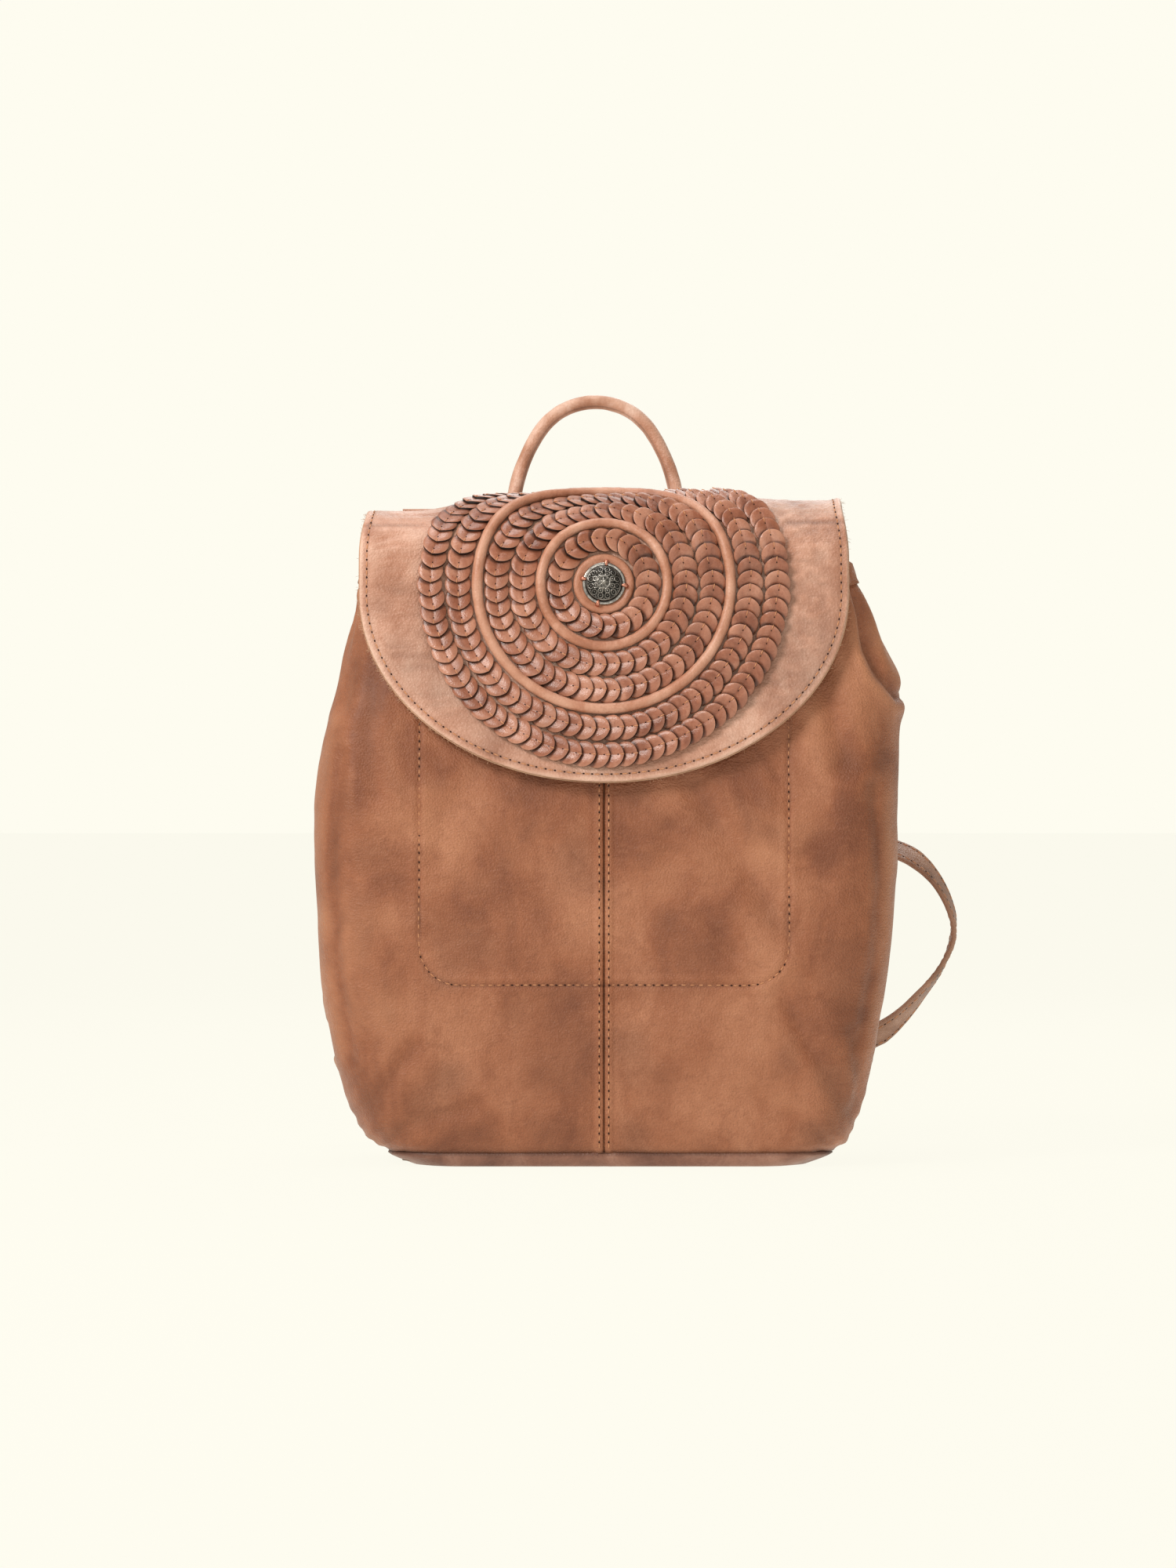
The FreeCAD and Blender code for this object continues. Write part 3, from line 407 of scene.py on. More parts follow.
def leather(name, dark, middle, light, grain=1.0, depth=0.3, rough=(0.4, 0.58), blotch=42.0,
            sheen=0.12, coat=0.08, lines=0.5):
    """Dyed leather: cloudy colour, pebble grain, stretched wrinkles, worn and dirty places, and the painted
    shade and painted highlights that the tone carries.
    """
    g = Graph(name)
    cloud = g.noise(blotch, 4.0, 0.6, stretch=(1.0, 1.0, 0.7), warp=0.5)
    base = g.ramp(cloud, [(0.36, dark), (0.5, middle), (0.66, light)])
    smudge = g.noise(blotch * 0.26, 5.0, 0.7, warp=1.2)
    base = g.mix(g.spread(smudge, 0.52, 0.72, 0.0, 0.45), base, dark)
    rubbed = g.noise(3.2, 5.0, 0.7, stretch=(0.5, 0.7, 1.5), warp=0.8)
    base = g.mix(g.spread(rubbed, 0.5, 0.75, 0.0, 0.35), base, light)
    mottle = g.noise(5.0, 5.0, 0.65)
    base = g.mix(g.spread(mottle, 0.3, 0.7, 0.0, 0.26), base, dark)
    pores = g.noise(1.1, 3.0, 0.6)
    base = g.mix(g.spread(pores, 0.5, 0.75, 0.0, 0.4), base, dark)
    tone = g.attribute("tone", "Fac")
    dirt_and_shade = tuple(DIRT_AND_SHADE_SHARE * c for c in dark[:3]) + (1,)
    wear_and_highlight = tuple(c + WEAR_AND_HIGHLIGHT_SHARE * (1 - c) * c for c in light[:3]) + (1,)
    # Tone below 0 darkens towards dirt and painted shade, above 0 lightens towards wear and painted
    # highlight.
    base = g.mix(g.spread(tone, 0.0, -1.0), base, dirt_and_shade)
    base = g.mix(g.spread(tone, 0.0, 1.0), base, wear_and_highlight)
    pebble = g.cells(grain)
    wrinkle = g.noise(3.4, 4.0, 0.6, stretch=(0.35, 0.6, 1.6), warp=0.6)
    fine = g.noise(grain * 0.5, 3.0, 0.6)
    height = g.maths("MULTIPLY_ADD", pebble, 0.8, g.maths("MULTIPLY", fine, 0.5))
    height = g.maths("MULTIPLY_ADD", wrinkle, lines, height)
    height = g.maths("MULTIPLY_ADD", mottle, 0.4, height)
    g.bump(height, depth)
    return g.finish(base=base, rough=g.spread(mottle, 0.3, 0.7, *rough), sheen=sheen, sheen_rough=0.4,
                    sheen_tint=(1.0, 0.86, 0.78, 1), coat=coat, coat_rough=0.35, specular=0.42)


def suede(name, dark, light):
    """Raw leather: matt, napped, with short fibres."""
    g = Graph(name)
    nap = g.noise(1.6, 5.0, 0.7)
    cloud = g.noise(18.0, 3.0)
    base = g.mix(g.spread(cloud, 0.3, 0.7), dark, light)
    base = g.mix(g.spread(nap, 0.35, 0.7, 0.0, 0.5), base, light)
    fibres = g.noise(0.5, 4.0, 0.7, stretch=(1.0, 1.0, 0.4))
    g.bump(g.maths("MULTIPLY_ADD", fibres, 0.6, nap), 0.25)
    return g.finish(base=base, rough=g.spread(nap, 0.3, 0.7, 0.8, 0.96), sheen=0.35, sheen_rough=0.5,
                    sheen_tint=(1.0, 0.9, 0.82, 1), specular=0.2)


def cloth(name, dark, light):
    """Plain woven cotton: crossing threads and slubs."""
    g = Graph(name)
    parts = g.node("ShaderNodeSeparateXYZ")
    g.put(parts.inputs[0], g.place)
    flat = g.maths("ADD", parts.outputs[0], parts.outputs[1])
    pace = 2 * math.pi / CLOTH_THREADS
    weft = g.maths("SINE", g.maths("MULTIPLY", parts.outputs[2], pace))
    warp = g.maths("SINE", g.maths("MULTIPLY", flat, pace))
    weave = g.maths("MULTIPLY", weft, warp)
    slub = g.noise(2.2, 3.0, 0.6, stretch=(1.0, 1.0, 0.3))
    base = g.mix(g.spread(slub, 0.3, 0.7), dark, light)
    base = g.mix(g.spread(weave, -1, 1, 0.0, 0.35), base, dark)
    g.bump(g.maths("MULTIPLY_ADD", slub, 0.8, weave), 0.12)
    return g.finish(base=base, rough=g.spread(slub, 0.3, 0.7, 0.78, 0.92), sheen=0.2, specular=0.25)


def metal(name, dark, light, rough=(0.28, 0.5), metallic=1.0, tarnish=0.5, made_here=False):
    """Plated metal with tarnish in patches, fine scratches and a soft hammered face."""
    g = Graph(name, made_here)
    patch = g.noise(1.8, 4.0, 0.65)
    scratch = g.noise(0.7, 3.0, 0.6, stretch=(0.15, 1.0, 1.0))
    base = g.mix(g.spread(patch, 0.35, 0.65, 0.0, tarnish), light, dark)
    if made_here:
        # Tone below 0 darkens towards black: patina in the hollows, and painted shade.
        base = g.mix(g.spread(g.attribute("tone", "Fac"), 0.0, -1.0), base, TARNISH_AND_SHADE_BLACK)
    g.bump(g.maths("MULTIPLY_ADD", scratch, 0.4, patch), 0.05)
    return g.finish(base=base, rough=g.spread(patch, 0.3, 0.7, *rough), metal=metallic)


def plain_fibre(name, dark, light, size=0.6, rough=0.75, depth=0.1, made_here=True):
    """Thread, cord or board: fine twisted fibres in two shades."""
    g = Graph(name, made_here)
    fibre = g.noise(size, 3.0, 0.6, stretch=(1.0, 1.0, 0.4))
    cloud = g.noise(size * 14, 2.0)
    base = g.mix(g.spread(fibre, 0.3, 0.7), dark, light)
    base = g.mix(g.spread(cloud, 0.35, 0.65, 0.0, 0.4), base, dark)
    g.bump(fibre, depth)
    return g.finish(base=base, rough=g.spread(fibre, 0.3, 0.7, rough - 0.1, rough + 0.1), specular=0.3)


BODY = leather("body_leather", colour(130, 72, 42), colour(160, 96, 62), colour(182, 119, 85),
               grain=1.0, depth=0.42, blotch=46, lines=0.9)
FLAP = leather("flap_leather", colour(181, 124, 97), colour(209, 156, 131), colour(228, 184, 161),
               grain=1.2, depth=0.34, rough=(0.32, 0.5), blotch=30, lines=1.2, sheen=0.15, coat=0.16)
SCALE = leather("scale_leather", colour(128, 68, 42), colour(163, 98, 70), colour(196, 136, 110),
                grain=0.8, depth=0.12, rough=(0.22, 0.4), blotch=14, lines=0.3, coat=0.4)
# Nearly black leather for the scales' rims and undersides: dark edge dye, and painted shade that darkens the
# gaps under the scales' edges.
SCALE_EDGE_AND_GAP_SHADE = leather("scale_edge_and_gap_shade", colour(22, 9, 5), colour(34, 15, 9), colour(52, 25, 15),
                     grain=0.6, depth=0.15, blotch=6, sheen=0.0, coat=0.0)
PIPING = leather("piping_leather", colour(160, 99, 70), colour(189, 127, 98), colour(210, 156, 130),
                 grain=1.0, depth=0.16, rough=(0.34, 0.5), blotch=18, lines=0.8, coat=0.15)
STRAP = leather("strap_leather", colour(124, 84, 62), colour(158, 112, 86), colour(184, 140, 116),
                grain=1.0, depth=0.2, blotch=24, lines=0.6)
ROLL = leather("handle_leather", colour(182, 128, 100), colour(212, 164, 139), colour(232, 196, 177),
               grain=1.0, depth=0.2, rough=(0.36, 0.52), blotch=16, lines=0.7)
BASE = leather("base_leather", colour(112, 70, 54), colour(146, 98, 78), colour(168, 122, 102),
               grain=1.1, depth=0.25, blotch=30)
SUEDE = suede("flap_suede", colour(176, 130, 100), colour(214, 172, 140))
LINING = cloth("lining_cloth", colour(120, 98, 78), colour(156, 132, 108))
THREAD = plain_fibre("thread", colour(188, 124, 84), colour(226, 170, 128), 0.4)
# Nearly black beads standing for the needle holes: painted shade.
NEEDLE_HOLE_SHADE = plain_fibre("needle_hole_shade", colour(40, 20, 12), colour(70, 38, 24), 0.5, 0.9)
CORD = plain_fibre("handle_cord", colour(190, 178, 156), colour(226, 216, 196), 0.5, 0.85)
BOARD = plain_fibre("stiffener_board", colour(104, 86, 68), colour(140, 120, 98), 1.4, 0.85, 0.15, False)
SILVER = metal("antique_metal", colour(60, 56, 52), colour(184, 178, 170), (0.2, 0.36), 1.0, 0.7, True)
RIM_METAL = metal("antique_rim", colour(110, 104, 94), colour(200, 197, 190), (0.26, 0.44), 1.0, 0.5)
COPPER = metal("copper", colour(150, 92, 72), colour(214, 148, 124), (0.3, 0.48), 1.0, 0.4, True)
STEEL = metal("plated_steel", colour(120, 116, 106), colour(190, 186, 176), (0.22, 0.4), 1.0, 0.4)
MAGNET = metal("magnet", colour(58, 58, 60), colour(96, 96, 98), (0.4, 0.6), 0.9, 0.4)


# ---------------------------------------------------------------- the bag's shape

# height of each level, the bag's half widths on its own left and right there as seen from the front
OUTLINE = np.array([
    (6.5, 106, 112), (15, 117, 121.5), (23, 122, 124), (38, 127, 128), (54, 131, 132), (84, 136.5, 137),
    (115, 139, 140.5), (146, 140, 142.5), (177, 140.5, 143), (192, 139, 143.5), (208, 136, 143.5),
    (223, 131.5, 145), (231, 129, 144.5), (239, 127.5, 141.5), (254, 124, 134), (270, 119, 126.5),
    (292, 115, 118), (323, 113, 114),
])
# height, front depth, back depth, corner radius
DEPTHS = np.array([
    (6.5, 54, 54, 26), (19, 57, 56, 30), (46, 60, 58, 30), (108, 61, 59, 30), (177, 59, 58, 30),
    (223, 54, 55, 28), (262, 47, 49, 24), (292, 42, 44, 18), (323, 40, 43, 14),
])
BASE_RIM = 6.5
MOUTH = 292
BACK_TOP = 316
BACK_SEAM = 100
WALL = 1.8
SMOOTH_REACH = 5
CORNER_SHARE = 0.8      # of a side panel's run behind the bag, the part that columns 3 to 4 take


def at_height(table, column, z):
    """A size from a table at a height, its corners eased over a few millimetres."""
    z = np.asarray(z, float)
    reach = np.clip(z - BASE_RIM, 0, SMOOTH_REACH)
    return sum(np.interp(z + k * reach, table[:, 0], table[:, column]) for k in (-1, -0.5, 0, 0.5, 1)) / 5


def half_width(side, z):
    """Half the bag's width at a height, on its right where side is above 0 and else on its left."""
    return at_height(OUTLINE, 2 if side > 0 else 1, z)


def bag_point(column, z, side):
    """The bag's plain outer face. Column 0 to 1 crosses the front from its middle, 1 to 2 turns the
    corner, 2 to 3 is the side, and 3 to 5 turn the back corner as far as the back seam."""
    column, z = np.broadcast_arrays(np.asarray(column, float), np.asarray(z, float))
    half = half_width(side, z)
    front, back, corner = (at_height(DEPTHS, k, z) for k in (1, 2, 3))
    part = np.minimum(np.floor(column), 4)
    t = column - part
    turn = t * math.pi / 2
    straight = half - corner
    arc = corner * np.arccos(np.clip((BACK_SEAM - straight) / corner, 0, 1))
    behind = np.where(part == 3, CORNER_SHARE * t, CORNER_SHARE + (1 - CORNER_SHARE) * t)
    behind = behind * (arc + np.maximum(straight - BACK_SEAM, 0))
    bent = np.minimum(behind, arc) / corner
    x = np.select(
        [part == 0, part == 1, part == 2],
        [t * straight, straight + corner * np.sin(turn), half],
        straight + corner * np.cos(bent) - np.maximum(behind - arc, 0))
    y = np.select(
        [part == 0, part == 1, part == 2],
        [-front, corner - front - corner * np.cos(turn), corner - front + t * (front + back - 2 * corner)],
        back - corner + corner * np.sin(bent))
    run = np.select(
        [part == 0, part == 1, part == 2],
        [x, straight + corner * turn, straight + corner * math.pi / 2 + t * (front + back - 2 * corner)],
        straight + corner * math.pi / 2 + front + back - 2 * corner + behind)
    return np.stack([side * x, y, z + 0 * x], -1), run


def back_depth(x, z):
    """How deep the back panel is: level, but rounding off low down, where the corner starts
    inside its seam."""
    half = np.where(x > 0, half_width(1, z), half_width(-1, z))
    corner = at_height(DEPTHS, 3, z)
    past = np.maximum(np.abs(x) - (half - corner), 0)
    return at_height(DEPTHS, 2, z) - corner + np.sqrt(corner ** 2 - past ** 2)


def away_from(points, line):
    """How far points, seen from the front, are from a line of (across, up) corners."""
    flat = points[..., [0, 2]]
    nearest = np.full(flat.shape[:-1], 1e9)
    for a, b in zip(np.array(line[:-1], float), np.array(line[1:], float)):
        share = np.clip(((flat - a) @ (b - a)) / ((b - a) @ (b - a)), 0, 1)
        nearest = np.minimum(nearest, np.linalg.norm(flat - (a + share[..., None] * (b - a)), axis=-1))
    return nearest


# Soft creases on the front: corners of the line, depth, width
CREASES = [
    ([(86, 84), (100, 56), (112, 38), (122, 20)], 1.0, 6.5),
    ([(120, 66), (124, 42), (122, 28)], 1.0, 4.0),
    ([(66, 34), (92, 24), (106, 12)], 0.6, 5.5),
    ([(-92, 58), (-106, 38), (-118, 24)], 0.9, 6.0),
    ([(-62, 30), (-90, 22), (-106, 12)], 0.6, 5.0),
    ([(-126, 200), (-131, 150), (-129, 96), (-122, 52)], 1.0, 4.0),
    ([(130, 184), (134, 140), (131, 96), (124, 60)], 1.0, 4.0),
    ([(44, 182), (66, 148), (88, 112)], 1.2, 9.0),
    ([(30, 150), (48, 128), (62, 104)], 0.6, 8.0),
    ([(-60, 190), (-74, 172), (-80, 150)], 0.6, 9.0),
    ([(118, 292), (123, 268), (127, 250), (134, 238), (143, 228)], 3.6, 4.2),
    ([(104, 240), (110, 222), (116, 196)], 1.6, 8.0),
    ([(-106, 262), (-112, 236), (-114, 206), (-110, 180)], 1.2, 8.0),
    ([(-118, 270), (-122, 244), (-126, 222)], 1.4, 4.5),
    ([(92, 214), (86, 190), (88, 172)], 0.8, 7.0),
]
POCKET_HALF = 89
POCKET_LOW = 88
POCKET_CORNER = 19
POCKET_TOP = 235
SNAP_HEIGHT = 205
PLEAT = 15.0


FRONT_LUMPS = ((1.1, 62, 3), (0.45, 21, 5), (0.16, 8, 7))
FRONT_TONE = ((0.30, 38, 11), (0.20, 15, 12))
BACK_LUMPS = ((0.9, 70, 23), (0.3, 22, 24))
BACK_TONE = ((0.25, 40, 25), (0.15, 14, 26))
SETTLED = 30            # the height over which the walls' lumps begin
TUCK = (1.3, 4.5)       # how deep the wall pulls in at the base seam, and over what height
TUCK_SHADE = (0.65, 2.2)
GROOVE = 0.9            # depth of the back seams


def by_base_seam(z, most, reach):
    """Most at the base seam, nothing from reach above it."""
    return most * (1 - ramp(z, BASE_RIM, BASE_RIM + reach))


def pocket_distance(points):
    """Distance outside the U of stitching, below 0 inside it."""
    across = np.abs(points[..., 0]) - (POCKET_HALF - POCKET_CORNER)
    down = POCKET_LOW + POCKET_CORNER - points[..., 2]
    both = (across > 0) & (down > 0)
    return np.where(both, np.hypot(across, down), np.maximum(across, down)) - POCKET_CORNER


def front_relief(points, run, side):
    """How far the leather stands off the plain face, and its tone, on a front panel."""
    x, y, z = points[..., 0], points[..., 1], points[..., 2]
    facing = ramp(-y, 8, 30)
    off = lumps(points, *FRONT_LUMPS) * ramp(z, BASE_RIM, SETTLED)
    tone = lumps(points, *FRONT_TONE)
    near_snap = bell(np.hypot(x, z - SNAP_HEIGHT), 22)
    off = off * (1 - near_snap)
    seam = np.abs(x)
    on_front = facing * (seam < BACK_SEAM)
    off += on_front * (0.4 * bell(seam - 3.0, 1.9) - 0.75 * bell(seam, 0.5) - 0.3 * bell(seam - 4.9, 0.9))
    # Painted shade in the middle seam's groove, and a painted highlight on the raised ridges beside it.
    tone -= on_front * 0.35 * bell(seam, 0.6)
    tone += on_front * 0.16 * bell(seam - 2.4, 1.4)
    edge = pocket_distance(points)
    stitched = on_front * (z < POCKET_TOP + 8)
    pucker = 0.10 * np.sin(2 * math.pi * (x + z) / 4.5) * bell(edge, 2.6)
    off += stitched * (pucker - 0.55 * bell(edge, 0.9) + 0.28 * bell(np.abs(edge) - 2.6, 1.6))
    # Painted shade in the groove of the pocket's stitching, and a painted highlight on the puff inside it.
    tone -= stitched * 0.35 * bell(edge, 0.8)
    tone += stitched * 0.10 * bell(edge + 3.5, 2.5)
    for line, depth, width in CREASES:
        if side * line[0][0] > 0:
            gap = away_from(points, line)
            gap = gap * (1 + 0.25 * bumps(points, 12, 17))
            off += facing * depth * (0.45 * bell(gap - 1.5 * width, width) - bell(gap, 0.7 * width))
            # Painted shade in each crease and a painted highlight on the ridge beside it.
            tone -= facing * 0.10 * depth * bell(gap, 0.5 * width)
            tone += facing * 0.10 * depth * bell(gap - 1.5 * width, 0.6 * width)
    gathered = ramp(z, 226, 286) * ramp(np.abs(x), 84, 104)
    wave = np.sin(2 * math.pi * (run + 3 * bumps(points, 30, 19)) / PLEAT)
    off += gathered * 2.1 * wave
    # Painted highlight on the pleats' crests and painted shade in their troughs.
    tone += gathered * 0.12 * wave
    low_corner = ramp(np.abs(x), 84, 112) * (1 - ramp(z, 12, 44)) * facing
    off += low_corner * 0.4 * np.sin(2 * math.pi * (np.abs(x) + 0.8 * z + 3 * bumps(points, 18, 20)) / 9.5)
    tone -= low_corner * 0.22
    off -= by_base_seam(z, *TUCK)
    tone -= by_base_seam(z, *TUCK_SHADE)
    off -= GROOVE * (y > 0) * bell(seam - BACK_SEAM, 1.0)
    half = half_width(side, z)
    rim = ramp(np.abs(x), half - 9, half - 4)
    # Painted sheen: a lighter band on the front near each side's edge.
    tone += 0.22 * rim * facing
    return off, tone


def back_relief(points):
    """The same for the back panel, which lies flatter."""
    x, z = points[..., 0], points[..., 2]
    off = lumps(points, *BACK_LUMPS) * ramp(z, BASE_RIM, SETTLED) * (1 - ramp(z, 250, 262))
    off -= by_base_seam(z, *TUCK)
    off -= GROOVE * bell(np.abs(x) - BACK_SEAM, 1.0)
    tone = lumps(points, *BACK_TONE)
    # Painted shade at the base seam and in the grooves of the back seams.
    tone -= by_base_seam(z, *TUCK_SHADE) + 0.5 * bell(np.abs(x) - BACK_SEAM, 0.8)
    return off, tone


def wall_grid(part, columns, heights, lift=0.0):
    """Points, normals and tone of the finished wall; part is -1 or 1 for a front panel, 0 for the back."""
    z = np.asarray(heights, float)[:, None] + 0 * np.asarray(columns, float)[None, :]
    if part == 0:
        x = np.asarray(columns, float)[None, :] + 0 * z
        points = np.stack([x, back_depth(x, z), z], -1)
        off, tone = back_relief(points)
    else:
        points, run = bag_point(np.asarray(columns, float)[None, :], z, part)
        off, tone = front_relief(points, run, part)
    outside = points * (1, 1, 0)
    normal = outward_normals(points, outside)
    return points + normal * (off[..., None] + lift), normal, tone


def columns_after_front(*counts):
    """Columns from 1 to 5, with so many steps in each of the four."""
    return [np.linspace(part, part + 1, count)[1:] for part, count in enumerate(counts, 1)]


SIDE_COLUMNS = np.concatenate([
    np.linspace(0.0015, 0.06, 10), np.linspace(0.07, 1, 76), *columns_after_front(27, 34, 20, 6)])
WALL_HEIGHTS = np.concatenate([np.linspace(BASE_RIM, 12, 7), np.linspace(13, MOUTH, 210)])


def make_walls():
    for name, part in (("left", -1), ("right", 1)):
        outer, normal, tone = wall_grid(part, SIDE_COLUMNS, WALL_HEIGHTS)
        inner = outer - normal * WALL
        piece = thick_sheet(f"front_{name}", outer[:, ::part], inner[:, ::part], [BODY],
                            tone=tone[:, ::part])
        settle(piece, "bag", f"front_panel_{name}")
    columns = np.linspace(0.4 - BACK_SEAM, BACK_SEAM - 0.4, 121)
    heights = np.concatenate([WALL_HEIGHTS, np.linspace(MOUTH, BACK_TOP, 16)[1:]])
    outer, normal, tone = wall_grid(0, columns, heights)
    piece = thick_sheet("back", outer[:, ::-1], (outer - normal * WALL)[:, ::-1], [BODY], tone=tone[:, ::-1])
    settle(piece, "bag", "back_panel")


def whole_loop(heights, lift):
    """The wall right round the bag as one grid, starting at the middle of the front."""
    side = np.concatenate([np.linspace(0, 1, 24), *columns_after_front(9, 12, 9, 3)])
    right = wall_grid(1, side, heights, lift)
    back = wall_grid(0, np.linspace(BACK_SEAM, -BACK_SEAM, 40)[1:-1], heights, lift)
    left = wall_grid(-1, side[1:], heights, lift)
    return [np.concatenate([right[k], back[k], left[k][:, ::-1]], 1) for k in range(2)]


def make_base():
    """The base: a shallow tray whose side bulges a little below the seam."""
    loop, _ = whole_loop(np.array([BASE_RIM, BASE_RIM + 1.0]), 0.0)
    rim = loop[0]
    flat = rim * (1, 1, 0)
    profile = [(BASE_RIM + 1.2, 0.985, 0.985), (BASE_RIM - 0.6, 1.0, 1.006), (4.8, 0.985, 1.004),
               (3.2, 0.95, 0.992), (1.6, 0.91, 0.972), (0.4, 0.88, 0.95), (0, 0.85, 0.92), (0, 0.7, 0.75),
               (0, 0.42, 0.45), (0, 0.12, 0.12)]
    outer = np.stack([flat * (wide, deep, 0) + (0, 0, level) for level, wide, deep in profile])
    sag = 0.5 * bumps(outer, 30, 31) * ramp(outer[..., 2], 0.6, 3)
    outer = outer + unit(outer * (1, 1, 0)) * sag[..., None]
    shrunk = [(level if k == 0 else level + 1.4, 0.014 if k < 6 else 0)
              for k, (level, _, _) in enumerate(profile)]
    inner = np.stack([flat * (wide - less, deep - less, 0) + (0, 0, high)
                      for (high, less), (_, wide, deep) in zip(shrunk, profile)])
    # Uneven colour, and painted shade along the top of the base, under the walls.
    tone = 0.2 * bumps(outer, 24, 33) - 0.6 * ramp(outer[..., 2], BASE_RIM - 1.6, BASE_RIM)
    piece = thick_sheet("base", outer[::-1], inner[::-1], [BASE], around=True, tone=tone[::-1])
    settle(piece, "bag", "base_panel")


def make_hem():
    """A folded binding round the mouth, over the walls' top edge."""
    side = SIDE_COLUMNS[::2]
    for name, part in (("hem_left", -1), ("hem_right", 1)):
        levels = np.linspace(282, MOUTH, 6)
        outside, _, _ = wall_grid(part, side, levels, 1.4)
        inside, _, _ = wall_grid(part, side, levels, -WALL - 0.5)
        over, _, _ = wall_grid(part, side, levels, -0.3)
        loop = np.concatenate([outside, (outside[-1:] + over[-1:]) / 2 + (0, 0, 0.9), over[-1:] + (0, 0, 1.2),
                               (inside[-1:] + over[-1:]) / 2 + (0, 0, 0.8), inside[::-1], over[:1]])
        rings = loop.transpose(1, 0, 2)
        tone = 0.2 * bumps(rings, 12, 35) + 0.25 * ramp(rings[..., 2], 291, 293)
        piece = swept(name, rings[:, ::part], [BODY], tone=tone[:, ::part])
        settle(piece, "bag", "mouth_hem")


def make_lining():
    """The cloth bag inside, with a floor."""
    walls, normal = whole_loop(np.linspace(9.5, 289, 60), -WALL - 1.2)
    slack = 0.5 * bumps(walls, 26, 37)
    walls = walls - normal * (0.4 + 0.4 * slack)[..., None]
    floor = np.stack([walls[0] * (share, share, 0) + (0, 0, level)
                      for level, share in ((8.2, 0.1), (8.2, 0.5), (8.2, 0.85), (8.4, 0.95), (8.9, 0.985))])
    outer = np.concatenate([floor, walls])
    down = np.repeat(np.array([[[0, 0, -1.0]]]), outer.shape[1], 1)
    facing = np.concatenate([np.repeat(down, len(floor), 0), normal])
    piece = thick_sheet("lining", outer, outer - facing * 0.6, [LINING], around=True)
    settle(piece, "bag", "lining_bag")


def make_pocket():
    """The slip pocket hanging on the lining behind the front, closed at its two sides and below."""
    across = np.linspace(-POCKET_HALF, POCKET_HALF, 60)
    heights = np.linspace(POCKET_LOW, POCKET_TOP, 50)
    x, z = np.meshgrid(across, heights)
    down = POCKET_LOW + POCKET_CORNER - z
    narrow = np.where(down > 0, POCKET_CORNER - np.sqrt(np.maximum(POCKET_CORNER ** 2 - down ** 2, 0)), 0)
    x = x * (POCKET_HALF - narrow) / POCKET_HALF
    points = np.stack([x, -at_height(DEPTHS, 1, z), z], -1)
    edge = -pocket_distance(points)
    depth = 6.8 + 5.0 * ramp(edge, 0, 7) + 0.5 * bumps(points, 20, 39)
    outer = points + np.stack([0 * x, depth, 0 * x], -1)
    piece = thick_sheet("pocket", outer, outer + (0, 0.9, 0), [LINING])
    settle(piece, "bag", "front_pocket")


COLUMN_STEP = 0.004     # neighbours that give a stitched point its normal
LEVEL_STEP = 0.4
THREAD_LIFT = 0.1       # how far the threads stand off the leather


def seam_path(line):
    """A dense path on the front wall over (across, up) corners, with its normals."""
    flat = spline([(x, 0, z) for x, z in line], 40)
    points, normals = [], []
    for x, _, z in flat:
        side = 1 if x >= 0 else -1
        column = abs(x) / (half_width(side, z) - at_height(DEPTHS, 3, z))
        columns = [max(column - COLUMN_STEP, 0), column, column + COLUMN_STEP]
        levels = [z - LEVEL_STEP, z, z + LEVEL_STEP]
        grid, normal, _ = wall_grid(side, columns, levels, THREAD_LIFT)
        points.append(grid[1, 1])
        normals.append(normal[1, 1])
    return np.array(points), np.array(normals)


def make_front_stitches():
    rows = [seam_path([(x, z) for z in np.linspace(8, 262, 9)]) for x in (-2.3, 2.3)]
    turn = np.linspace(0, math.pi / 2, 5)[1:-1]
    middle = POCKET_HALF - POCKET_CORNER
    corner = [(middle + POCKET_CORNER * math.cos(a), POCKET_LOW + POCKET_CORNER * (1 - math.sin(a)))
              for a in turn]
    right = [(POCKET_HALF, z) for z in np.linspace(POCKET_TOP, POCKET_LOW + POCKET_CORNER, 6)] + corner
    right += [(x, POCKET_LOW) for x in np.linspace(middle, 3.5, 5)]
    rows.append(seam_path(right))
    rows.append(seam_path([(-x, z) for x, z in right]))
    piece = stitches("front_stitches", rows, THREAD, NEEDLE_HOLE_SHADE, pitch=4.2, length=2.5, radius=0.3)
    settle(piece, "bag", None)


# ---------------------------------------------------------------- the flap

FLAP_HALF = 118
FLAP_TOP = 325
FLAP_LOW = 186
FLAP_ROUND = 91
BEND = 42
BEND_DEPTH = -10
LEAN = math.radians(9)
MEDALLION = 281
FLAP_LEATHER = 1.8
FLAP_FULL = 3.0
BEND_END_Z = FLAP_TOP - BEND + BEND * math.sin(LEAN)
STRAIGHT = (BEND_END_Z - MEDALLION) / math.cos(LEAN)
BEND_LENGTH = BEND * (math.pi / 2 - LEAN)
LEVEL_END = STRAIGHT + BEND_LENGTH + 51
ROLL_RADIUS = 4.0
ROUND_START = (FLAP_LOW + FLAP_ROUND - MEDALLION) / math.cos(LEAN)
ROUND_LENGTH = FLAP_ROUND / math.cos(LEAN)


